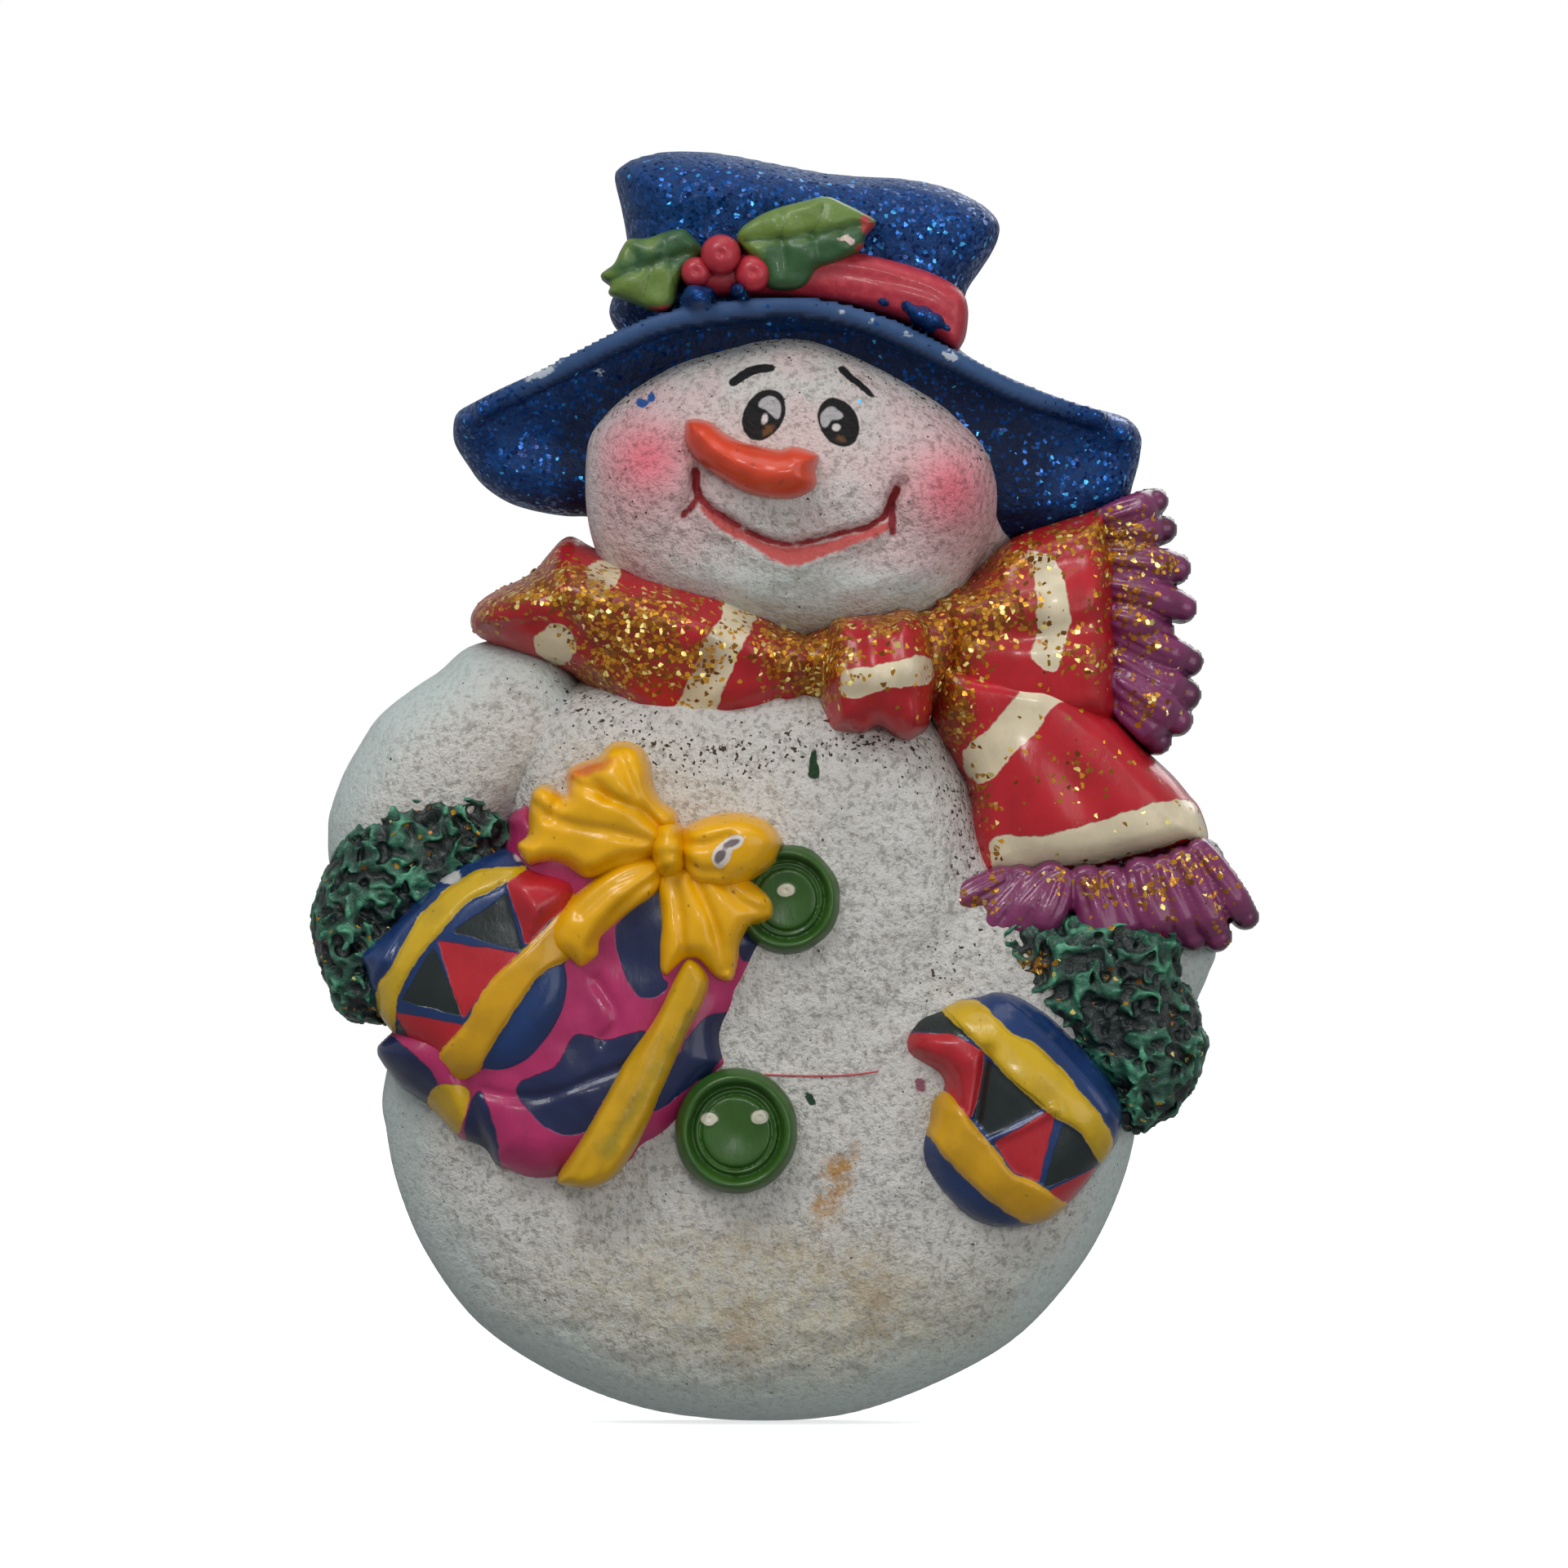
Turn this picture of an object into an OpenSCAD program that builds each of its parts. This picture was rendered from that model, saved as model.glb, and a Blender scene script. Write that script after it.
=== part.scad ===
// Snowman ornament: a one-sided relief with a flat back and a round magnet.
// X runs to the viewer's right, Z up, and the front faces -Y. The flat back lies in the plane Y = 0.
// The origin is the centre of the magnet on that back plane.

/* [Overall] */
// Height from the bottom of the body to the top of the hat
height = 70; // [45:1:140]
// Multiplier on how far every form stands out of the back
relief = 1; // [0.8:0.05:1.4]

/* [Body] */
// Depth of the round body at its middle
body_depth = 10.5; // [9:0.5:12]
// Height of the straight wall at the edge of the big forms
wall_depth = 2.4; // [1.5:0.1:3.5]
// Depth of the arms
arm_depth = 8.2; // [6:0.2:9]

/* [Head] */
// Depth of the head at its middle
head_depth = 11; // [9:0.5:12.5]
// Depth of the carrot nose
nose_depth = 13.4; // [12:0.2:15]

/* [Hat] */
// Depth of the hat's crown
crown_depth = 8.2; // [7.4:0.2:9]
// Depth of the drooping brim
brim_depth = 8.6; // [7:0.2:10]
// Depth of the holly leaves
leaf_depth = 10.4; // [10:0.1:11]
// Radius of a holly berry
berry_r = 1.05; // [0.8:0.05:1.3]

/* [Scarf] */
// Depth of the scarf round the neck
scarf_depth = 10.8; // [9:0.2:12]
// Depth of the scarf's knot
knot_depth = 12.4; // [11.5:0.2:14]
// Depth of the hanging scarf tails
tail_depth = 7.6; // [6:0.2:9]
// Depth of the fringe strands
fringe_depth = 6.4; // [5.6:0.1:7.5]

/* [Hands and gift] */
// Depth of the fur cuffs
cuff_depth = 10; // [8.6:0.2:11]
// Depth of the mittens
mitten_depth = 13; // [11.5:0.5:14]
// Depth of the gift box
gift_depth = 12; // [11:0.2:13]
// Depth of the bow
bow_depth = 14.2; // [13:0.2:16]

/* [Buttons] */
// Radius of a button
button_r = 3.3; // [2.6:0.1:3.6]
// Thickness of a button above its seat
button_t = 2.4; // [1.6:0.2:3]

/* [Magnet] */
// Diameter of the magnet
magnet_d = 16; // [10:1:17]
// Thickness of the magnet
magnet_t = 3; // [2:0.5:4]

/* [Hidden] */

$fn = 48;
unit = height / 70;
deep = 30;
spare = 0.5;
reach = 50;

// Seats: how far each laid-on form starts from the back plane
cuff_seat = 3.5;
gift_seat = 4.5;
mitten_seat = 6.5;
bow_seat = 9.4;
knot_seat = 7;
fringe_seat = 3;
nose_seat = 9.6;
band_seat = 5.6;
button_seat = 9;

// Straight wall of a laid-on form above its seat
seat_wall = 1.4;

// Rounded ridges on the big forms: radius, and how far each stands above its dome
roll_r = 1;
roll_lift = 0.8;
fold_r = 1.5;
fold_lift = 0.6;
tuft_r = 1.8;
tuft_lift = 0.5;

// Steps between neighbouring forms
leaf_wall = 0.6;
upper_tail_lift = 0.8;
lower_fringe_lift = 1;
ribbon_lift = 0.4;
bow_step = 0.4;

// Outlines, counter-clockwise seen from the front, and the spine that each dome rises to
body_line = [[-21.6, -10.2], [-20.8, -16.2], [-16.4, -23.5], [-7.6, -28.1], [1, -28.8], [9.9, -26.3],
    [16.9, -20.3], [19.9, -12.9], [20.4, -6], [17, 2], [14, 7], [8.5, 11], [-3, 12.6], [-12, 13],
    [-18, 8], [-20.6, -1]];
body_spine = [[-7, 4], [1, 3], [4, -8], [-3, -12]];

arm_left_line = [[-24.6, 1.5], [-23.4, -2.5], [-18, -1], [-13.4, 4], [-9.8, 9.5], [-12.6, 12.9],
    [-16.3, 14.2], [-20.1, 11.5], [-23.6, 7.6], [-24.7, 4.2]];
arm_left_spine = [[-15.5, 9.5], [-18.6, 5], [-20, 1.5]];

arm_right_line = [[14, -3], [17, -6], [20.6, -8], [23.3, -6], [23.9, -4.2], [24.4, -2],
    [22, 2.4], [17, 1.4]];
arm_right_spine = [[17.5, -2], [21, -3.4]];

head_line = [[-10.3, 25.3], [-10.5, 22], [-10, 19], [-6.8, 17.6], [0, 15], [5, 14.8], [9.4, 17],
    [13, 20.2], [13.9, 23.6], [12.8, 25.8], [8.4, 27.9], [4.4, 29.9], [0.8, 30.8], [-3.4, 30.2],
    [-7.7, 28.4]];
head_spine = [[-5.5, 23.5], [2, 24.5], [7.5, 23]];

nose_line = [[-5, 25.7], [-4.8, 24.7], [-3, 22.8], [-1.3, 21.9], [0.7, 21.7], [2.2, 22.4],
    [2.4, 24], [1, 24.8], [-0.8, 24.6], [-2.6, 25.4], [-3.7, 26.2], [-4.6, 26.2]];
nose_spine = [[-4, 25.2], [-2, 23.8], [0.8, 23.3]];

brim_line = [[-17.8, 26.1], [-16.2, 22.8], [-13.4, 21.3], [-9, 21], [1, 22], [9, 21.4],
    [12.8, 20.8], [16.5, 21.8], [19.3, 22.8], [20.2, 25], [19.2, 26.7], [14.3, 28.1], [10.3, 30.2],
    [5.1, 32.6], [0, 33.1], [-4.9, 32.6], [-10, 30.5], [-15.2, 28.1]];
brim_spine = [[-12, 25], [1, 28], [14.6, 25]];
brim_roll = [[-9.4, 29.4], [-7.4, 30.3], [-5.2, 31.1], [-2.6, 31.7], [0, 31.9], [2.6, 31.7], [5.2, 31.2],
    [7.6, 30.3], [9.6, 29.2]];

crown_line = [[-9.15, 32], [-6, 30], [1, 29.5], [8, 29], [10.3, 30.4], [10.5, 33.2], [12, 35.8],
    [12.4, 37.4], [10.4, 38.8], [5, 39.8], [0, 40.6], [-4.9, 41.2], [-7.8, 40.8], [-8.95, 39.6],
    [-8.2, 36]];
crown_spine = [[-5, 36.5], [0.5, 36.2], [6.5, 35.2]];

band_line = [[-4.6, 33.1], [0, 33.5], [4, 33.2], [7.6, 32.2], [10.2, 30.8], [10.7, 32],
    [9.9, 33.5], [7.2, 34.7], [4.8, 35.2], [0, 35.5], [-3.4, 35.1]];
band_spine = [[-3, 34.2], [0.5, 34.5], [4.4, 34.2], [7.2, 33.5], [9.4, 32.3]];

leaf_left_line = [[-9.6, 34], [-9.1, 33], [-7.8, 32.5], [-6.6, 32.2], [-5.9, 32.8], [-5.6, 33.8],
    [-5.1, 34.8], [-4.3, 35.7], [-5.2, 36.5], [-6.9, 36.1], [-8, 36], [-8.7, 34.8]];
leaf_left_spine = [[-8, 34], [-5.8, 35]];

leaf_right_line = [[-1.8, 36], [-1.2, 35.3], [-0.3, 34.8], [-0.1, 33.6], [0.7, 33.2], [1.5, 33.4],
    [2.2, 34.4], [3.5, 34.8], [4.7, 35.5], [5.5, 36.9], [4.8, 37.5], [2.8, 38.3], [0, 37.7],
    [-1.9, 36.6]];
leaf_right_spine = [[-0.4, 35.8], [3, 36.4]];

wrap_line = [[-16.9, 15], [-14.8, 13.6], [-11.2, 12.1], [-8.3, 10], [-4.8, 8.4], [-1.2, 8.6],
    [1.6, 9.9], [5.8, 11.6], [9.6, 8.6], [10.8, 11], [10.4, 15], [8.6, 16.6], [5.2, 15], [1.4, 15.1],
    [-1.9, 16.7], [-6.4, 18], [-10, 19.2], [-11.5, 19.7], [-13.5, 17.8], [-16.2, 16.4]];
wrap_spine = [[-13.6, 16], [-8, 14.2], [-2, 12.6], [4, 12.6], [8, 12.4]];
wrap_fold = [[-12.6, 16.2], [-10.6, 15.8], [-8.6, 15], [-6.4, 14.2], [-4.4, 13.5], [-2.2, 12.9], [0, 12.7],
    [2.4, 12.8], [4.8, 13]];

knot_line = [[3, 9.2], [4.2, 8.9], [5.5, 9.3], [7.2, 8.6], [8.3, 9.6], [8.8, 12], [8.6, 14.4],
    [7.2, 15.9], [4.6, 15.7], [2.7, 14.1], [2.3, 11.2]];
knot_spine = [[5.2, 11], [6.1, 13.6]];

tail_upper_line = [[9.6, 13], [10.6, 10], [15, 10], [19.4, 9.6], [19.8, 14], [19.4, 18], [18.2, 21.7],
    [15, 20.6], [12, 19], [9.6, 17.2]];
tail_upper_spine = [[12.4, 14], [15.6, 15.6]];

tail_lower_line = [[11.8, 3.6], [12, 1.2], [17.4, 1.9], [23.9, 3.2], [22.7, 5.7], [20.4, 8.2],
    [18.8, 10.4], [16.4, 12], [13.6, 11.8], [10.1, 8], [11, 5.6]];
tail_lower_spine = [[13.6, 8.6], [16, 5.4], [19.6, 5.2]];

fringe_upper_line = [[18.9, 9.9], [19.9, 9], [21.3, 8.1], [22.7, 9.3], [23, 11], [22.7, 12.2],
    [23.2, 12.9], [21.9, 15], [22.8, 15.9], [22, 16.8], [22.5, 18], [21.4, 19.1], [21.8, 20.4],
    [20.9, 21.1], [21.1, 21.9], [20, 22.3], [18.3, 21.8], [18.8, 18], [19.2, 14]];
fringe_upper_spine = [[20.2, 10.6], [20.8, 15], [20, 20]];

fringe_lower_line = [[8.4, -1.3], [9.8, -2.1], [11, -3.4], [13.1, -3.4], [15.9, -2.6], [18.1, -3.4],
    [20, -2.9], [23.4, -2.9], [26.1, -1.7], [26.4, -0.5], [25.2, 1.8], [23.9, 3.3], [17.4, 1.9],
    [12, 1.2], [9.4, -0.4]];
fringe_lower_spine = [[11.4, -1], [17, -0.6], [23.4, -0.2]];

cuff_left_line = [[-25.5, -1.6], [-24.9, -4.2], [-23.8, -6.5], [-21.7, -6.9], [-19.6, -2.6],
    [-16.8, 0.4], [-13.3, 2.4], [-14.6, 3.6], [-15.6, 6], [-18.7, 6.5], [-21.6, 5.3],
    [-24.4, 2.4]];
cuff_left_spine = [[-23.2, -3.6], [-21.6, 0.6], [-17.6, 3.9]];
cuff_left_tufts = [[-23, -4.6], [-23.4, -3.2], [-22.9, -1.9], [-23, -0.6], [-22, 0.6],
                   [-21.8, 1.9], [-20.5, 2.7],
    [-19.4, 4], [-18, 4.1], [-16.8, 4.4]];

cuff_right_line = [[11.4, -3], [12, -5.4], [15, -7.6], [18, -10.6], [19.7, -13], [21.8, -12],
    [23.4, -9.2], [23.6, -7.2], [22.6, -4.8], [22, -1.6], [16, -1]];
cuff_right_spine = [[15, -4.2], [19, -6.4], [20.8, -9.8]];
cuff_right_tufts = [[14.4, -4.4], [15.8, -4.6], [17, -5.4], [18.2, -5.6], [19.2, -6.6],
                    [19.8, -7.8], [20.8, -8.4],
    [20.8, -9.6], [21, -10.8]];

mitten_left_line = [[-22, -5], [-21, -7.5], [-18.9, -9.5], [-16.6, -10.4], [-14, -10.3],
    [-11.4, -8.4], [-10.2, -5.6], [-10.2, -3.4], [-10, 0], [-10.6, 1.6], [-13.4, 2.6], [-17.8, 1.4],
    [-20.6, -1.5]];
mitten_left_spine = [[-18, -4.6], [-14.6, -6], [-13.6, -1]];

mitten_right_line = [[6.9, -7.9], [8.2, -9.3], [9, -10.2], [8, -12.3], [7.7, -14], [9.2, -16.4],
    [12, -18], [14.9, -17.6], [17, -15.8], [18.5, -13.6], [18.9, -12], [17.8, -9.4], [14.8, -6.4],
    [11.8, -5.1], [9, -5.8], [7.2, -6.9]];
mitten_right_spine = [[10.4, -8.6], [11.8, -12.6], [14.4, -12.6]];

gift_line = [[-21.9, -8.5], [-20.6, -10.2], [-17.6, -12.9], [-15.6, -14.8], [-11.8, -15.5],
    [-8.6, -15.1], [-5.8, -13.2], [-2, -9.4], [-2.5, -7.7], [0.1, -2.7], [-1.6, 0.4], [-6, 3.4],
    [-12, 5], [-14.4, 4.6], [-16, 0], [-19, -5]];
gift_spine = [[-13, -3], [-10, -7], [-6, -3.6]];

ribbon_line = [[-11.9, -15.2], [-10.6, -15.7], [-8.7, -15], [-6.8, -12], [-4.8, -7.6], [-3.7, -4.9],
    [-5.1, -4.4], [-6.4, -6.3], [-9, -10.2], [-10.5, -12.7]];
ribbon_spine = [[-9.9, -13.4], [-7.6, -9.6], [-5, -5.2]];

loop_left_line = [[-13.3, 2], [-10.2, 1.2], [-6.9, 2], [-6.6, 4.8], [-6.5, 6.4], [-7.2, 8.1],
    [-8.9, 8.5], [-11.3, 7], [-11.4, 5.7], [-13.2, 6.1], [-14, 3.1]];
loop_left_spine = [[-11.4, 3.6], [-8.6, 3.8], [-8.8, 6.4]];

loop_right_line = [[-5.2, 2], [-4.3, 0.6], [-2.9, 0.4], [-1.2, 1.1], [0, 2], [0.3, 3.3], [-0.6, 4.4],
    [-2.2, 4.8], [-3.9, 4.5], [-5, 3.8]];
loop_right_spine = [[-3.4, 2.5], [-1.6, 2.8]];

bow_knot_line = [[-6.9, 2], [-6, 1.1], [-4.9, 1.4], [-5, 3.9], [-5.6, 4.8], [-6.7, 4.5]];
bow_knot_spine = [[-5.9, 2.4], [-5.8, 3.4]];

tail_left_line = [[-10.7, -3.8], [-11.4, -3.4], [-11.6, -1], [-10.1, 1], [-6.9, 1.9], [-6.5, 0.4],
    [-9.1, -1.9], [-9.6, -3.2]];
tail_left_spine = [[-10.4, -2.2], [-8.4, 0.4]];

tail_right_line = [[-6, 0.7], [-6.4, -0.6], [-6.4, -3.8], [-5.6, -4.2], [-4.3, -3.3], [-2.4, -4.4],
    [-1.8, -2.2], [-0.2, -1], [-0.2, 0.2], [-1.2, 0.7], [-3, 0], [-4.8, 0.3]];
tail_right_spine = [[-4.2, -0.6], [-4.2, -2]];

berry_upper_at = [-3, 35.4];
berry_left_at = [-4.35, 33.7];
berry_right_at = [-1.3, 33.9];
button_upper_at = [0.6, -0.1];
button_lower_at = [-2.1, -12.7];

// Points per outline span, and the dome's rings as angles up a quarter circle
span_steps = 3;
dome_angles = [0, 28, 52, 72];

// Closed smooth curve through the points of an outline
function smooth(p) = let (c = len(p)) [
    for (i = [0 : c - 1], k = [0 : span_steps - 1])
        let (t = k / span_steps, a = p[(i + c - 1) % c], b = p[i], d = p[(i + 1) % c], e = p[(i + 2) % c])
            unit * (2 * b + (d - a) * t + (2 * a - 5 * b + 4 * d - e) * t * t
                + (3 * b - a - 3 * d + e) * t * t * t) / 2
];

// Nearest point to p on the polyline s, from its segment i onward
function on_segment(p, a, b) = let (v = b - a) a + v * max(0, min(1, ((p - a) * v) / (v * v)));
function nearest(p, s, i = 0) =
    let (here = on_segment(p, s[i], s[i + 1]))
        i >= len(s) - 2 ? here
            : let (next = nearest(p, s, i + 1)) norm(p - here) <= norm(p - next) ? here : next;

// A point (x, z) of an outline at distance d in front of the back plane
function at(q, d) = [q[0], -d * unit * relief, q[1]];

// Slab between two depths, wider than the whole ornament
module slab(low, high) {
    translate([-reach * unit, -high * unit * relief, -reach * unit])
        cube([2 * reach * unit, (high - low) * unit * relief, 2 * reach * unit]);
}

// Domed solid over an outline: a straight wall from back to edge, then rings that close in on the
// spine up to the crown. It is built longer at both ends and cut off flat.
module dome(line, spine, back, edge, crown) {
    rim = smooth(line);
    ridge = [for (q = spine) q * unit];
    n = len(rim);
    last_angle = dome_angles[len(dome_angles) - 1];
    rings = concat(
        [[0, back - spare]],
        [for (a = dome_angles) [1 - cos(a), edge + (crown - edge) * sin(a) / sin(last_angle)]],
        [[1 - cos(last_angle), crown + spare]]
    );
    points = [for (r = rings, q = rim) at(q + (nearest(q, ridge) - q) * r[0], r[1])];
    walls = [for (k = [0 : len(rings) - 2], i = [0 : n - 1])
        let (j = (i + 1) % n, a = k * n + i, b = k * n + j)
            each [[a, a + n, b + n], [a, b + n, b]]];
    back_face = [for (i = [0 : n - 1]) i];
    front_face = [for (i = [n - 1 : -1 : 0]) (len(rings) - 1) * n + i];
    intersection() {
        polyhedron(points, concat([back_face, front_face], walls), convexity = 8);
        slab(back, crown);
    }
}

// Straight hole right through, for a form that stands beside this one
module clear(line) {
    translate([0, 1, 0])
        seat(line, 0);
}

// Straight hole in front of a seat, for a form that is laid on
module seat(line, depth) {
    translate([0, -depth * unit * relief, 0])
        rotate([90, 0, 0])
            linear_extrude(deep)
                polygon(smooth(line));
}

// Rounded ridge along a line of points, whose top is at that depth
module ridge(line, r, depth) {
    for (i = [0 : len(line) - 2])
        hull()
            for (q = [line[i], line[i + 1]])
                translate(at(q * unit, depth - r))
                    sphere(r = r * unit, $fn = 12);
}

// Round hole in front of a seat
module round_seat(centre, r, depth) {
    translate(at(centre * unit, depth))
        rotate([90, 0, 0])
            cylinder(r = r * unit, h = deep);
}

module magnet_pocket() {
    rotate([90, 0, 0])
        translate([0, 0, -1])
            cylinder(d = magnet_d * unit, h = magnet_t * unit + 1);
}

// Body and arms
module body() {
    color("whitesmoke")
        difference() {
            dome(body_line, body_spine, 0, wall_depth, body_depth);
            magnet_pocket();
            clear(arm_left_line);
            clear(wrap_line);
            clear(tail_upper_line);
            clear(tail_lower_line);
            seat(fringe_lower_line, fringe_seat);
            clear(arm_right_line);
            seat(cuff_left_line, cuff_seat);
            seat(cuff_right_line, cuff_seat);
            seat(gift_line, gift_seat);
            seat(mitten_left_line, mitten_seat);
            seat(mitten_right_line, mitten_seat);
            seat(knot_line, knot_seat);
            seat(loop_left_line, bow_seat);
            seat(loop_right_line, bow_seat);
            seat(bow_knot_line, bow_seat);
            seat(ribbon_line, bow_seat);
            round_seat(button_upper_at, button_r, button_seat);
            round_seat(button_lower_at, button_r, button_seat);
        }
}

module arm_left() {
    color("whitesmoke")
        difference() {
            dome(arm_left_line, arm_left_spine, 0, wall_depth, arm_depth);
            clear(wrap_line);
            seat(cuff_left_line, cuff_seat);
            seat(gift_line, gift_seat);
        }
}

module arm_right() {
    color("whitesmoke")
        difference() {
            dome(arm_right_line, arm_right_spine, 0, wall_depth, fringe_depth);
            clear(tail_lower_line);
            seat(fringe_lower_line, fringe_seat);
            seat(cuff_right_line, cuff_seat);
        }
}

// Head
module head() {
    color("snow")
        difference() {
            dome(head_line, head_spine, 0, wall_depth, head_depth);
            clear(wrap_line);
            clear(tail_upper_line);
            seat(nose_line, nose_seat);
        }
}

module nose() {
    color("orangered")
        dome(nose_line, nose_spine, nose_seat, nose_seat + seat_wall, nose_depth);
}

// Hat
module hat_brim() {
    color("midnightblue")
        difference() {
            union() {
                dome(brim_line, brim_spine, 0, wall_depth, brim_depth - roll_lift);
                ridge(brim_roll, roll_r, brim_depth);
            }
            clear(head_line);
        }
}

module hat_crown() {
    color("royalblue")
        difference() {
            dome(crown_line, crown_spine, 0, wall_depth, crown_depth);
            clear(brim_line);
            seat(band_line, band_seat);
            seat(leaf_left_line, band_seat);
        }
}

module hat_band() {
    color("crimson")
        dome(band_line, band_spine, band_seat, band_seat + seat_wall, crown_depth);
}

module holly_leaf_left() {
    color("olivedrab")
        dome(leaf_left_line, leaf_left_spine, band_seat, band_seat + seat_wall, leaf_depth);
}

module holly_leaf_right() {
    color("olivedrab")
        dome(leaf_right_line, leaf_right_spine, crown_depth, crown_depth + leaf_wall, leaf_depth);
}

// Round berry on a short straight foot that fills its seat
module berry(centre) {
    color("firebrick")
        translate(at(centre * unit, crown_depth))
            rotate([90, 0, 0])
                union() {
                    cylinder(r = berry_r * unit, h = berry_r * unit);
                    translate([0, 0, berry_r * unit])
                        sphere(r = berry_r * unit);
                }
}

module berry_upper() {
    berry(berry_upper_at);
}

module berry_left() {
    berry(berry_left_at);
}

module berry_right() {
    berry(berry_right_at);
}

// Scarf
module scarf_wrap() {
    color("firebrick")
        difference() {
            union() {
                dome(wrap_line, wrap_spine, 0, wall_depth, scarf_depth - fold_lift);
                ridge(wrap_fold, fold_r, scarf_depth);
            }
            seat(knot_line, knot_seat);
        }
}

module scarf_knot() {
    color("firebrick")
        dome(knot_line, knot_spine, knot_seat, knot_seat + seat_wall, knot_depth);
}

module scarf_tail_upper() {
    color("firebrick")
        difference() {
            dome(tail_upper_line, tail_upper_spine, 0, wall_depth, tail_depth + upper_tail_lift);
            clear(wrap_line);
            clear(tail_lower_line);
            clear(fringe_upper_line);
        }
}

module scarf_tail_lower() {
    color("firebrick")
        difference() {
            dome(tail_lower_line, tail_lower_spine, 0, wall_depth, tail_depth);
            clear(wrap_line);
            clear(fringe_lower_line);
            clear(fringe_upper_line);
        }
}

module fringe_upper() {
    color("purple")
        dome(fringe_upper_line, fringe_upper_spine, 0, wall_depth, fringe_depth);
}

module fringe_lower() {
    color("purple")
        dome(fringe_lower_line, fringe_lower_spine, fringe_seat, fringe_seat + seat_wall,
            fringe_depth + lower_fringe_lift);
}

// Hands
module cuff_left() {
    color("darkgreen")
        difference() {
            union() {
                dome(cuff_left_line, cuff_left_spine, cuff_seat, cuff_seat + seat_wall,
                    cuff_depth - tuft_lift);
                ridge(cuff_left_tufts, tuft_r, cuff_depth);
            }
            seat(mitten_left_line, mitten_seat);
            seat(gift_line, gift_seat);
        }
}

module cuff_right() {
    color("darkgreen")
        difference() {
            union() {
                dome(cuff_right_line, cuff_right_spine, cuff_seat, cuff_seat + seat_wall,
                    cuff_depth - tuft_lift);
                ridge(cuff_right_tufts, tuft_r, cuff_depth);
            }
            seat(mitten_right_line, mitten_seat);
            seat(fringe_lower_line, fringe_seat);
        }
}

module mitten_left() {
    color("navy")
        difference() {
            dome(mitten_left_line, mitten_left_spine, mitten_seat, mitten_seat + seat_wall, mitten_depth);
            seat(loop_left_line, bow_seat);
            seat(tail_left_line, bow_seat);
        }
}

module mitten_right() {
    color("navy")
        dome(mitten_right_line, mitten_right_spine, mitten_seat, mitten_seat + seat_wall, mitten_depth);
}

// Gift
module gift_box() {
    color("mediumvioletred")
        difference() {
            dome(gift_line, gift_spine, gift_seat, gift_seat + seat_wall, gift_depth);
            seat(mitten_left_line, mitten_seat);
            seat(ribbon_line, bow_seat);
            seat(loop_left_line, bow_seat);
            seat(loop_right_line, bow_seat);
            seat(bow_knot_line, bow_seat);
            seat(tail_left_line, bow_seat);
            seat(tail_right_line, bow_seat);
            round_seat(button_lower_at, button_r, button_seat);
        }
}

module gift_ribbon() {
    color("gold")
        difference() {
            dome(ribbon_line, ribbon_spine, bow_seat, bow_seat + seat_wall, gift_depth + ribbon_lift);
            seat(tail_right_line, bow_seat);
            round_seat(button_lower_at, button_r, button_seat);
        }
}

module bow_loop_left() {
    color("gold")
        difference() {
            dome(loop_left_line, loop_left_spine, bow_seat, bow_seat + seat_wall, bow_depth);
            seat(bow_knot_line, bow_seat);
        }
}

module bow_loop_right() {
    color("gold")
        difference() {
            dome(loop_right_line, loop_right_spine, bow_seat, bow_seat + seat_wall, bow_depth);
            seat(bow_knot_line, bow_seat);
        }
}

module bow_knot() {
    color("gold")
        dome(bow_knot_line, bow_knot_spine, bow_seat, bow_seat + seat_wall, bow_depth - bow_step);
}

module bow_tail_left() {
    color("gold")
        difference() {
            dome(tail_left_line, tail_left_spine, bow_seat, bow_seat + seat_wall, bow_depth - 2 * bow_step);
            seat(loop_left_line, bow_seat);
            seat(bow_knot_line, bow_seat);
        }
}

module bow_tail_right() {
    color("gold")
        dome(tail_right_line, tail_right_spine, bow_seat, bow_seat + seat_wall, bow_depth - 2 * bow_step);
}

// Round button with a raised rim and two sewing dents
module button(centre) {
    rim_w = 0.8;
    dish = 0.5;
    dent_r = 0.35;
    dent_depth = 0.9;
    dent_gap = 1.4;
    color("forestgreen")
        translate(at(centre * unit, button_seat))
            rotate([90, 0, 0])
                scale(unit)
                    difference() {
                        cylinder(r = button_r, h = button_t);
                        translate([0, 0, button_t - dish])
                            cylinder(r = button_r - rim_w, h = dent_depth);
                        for (side = [-1, 1])
                            translate([side * dent_gap, 0, button_t - dent_depth])
                                cylinder(r = dent_r, h = dent_depth);
                    }
}

module button_upper() {
    difference() {
        button(button_upper_at);
        clear(gift_line);
        seat(tail_right_line, bow_seat);
        seat(loop_right_line, bow_seat);
    }
}

module button_lower() {
    button(button_lower_at);
}

module magnet() {
    color("dimgray")
        rotate([90, 0, 0])
            cylinder(d = magnet_d * unit, h = magnet_t * unit);
}

body();
arm_left();
arm_right();
head();
nose();
hat_brim();
hat_crown();
hat_band();
holly_leaf_left();
holly_leaf_right();
berry_upper();
berry_left();
berry_right();
scarf_wrap();
scarf_knot();
scarf_tail_upper();
scarf_tail_lower();
fringe_upper();
fringe_lower();
cuff_left();
cuff_right();
mitten_left();
mitten_right();
gift_box();
gift_ribbon();
bow_loop_left();
bow_loop_right();
bow_knot();
bow_tail_left();
bow_tail_right();
button_upper();
button_lower();
magnet();
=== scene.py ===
import math

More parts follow.
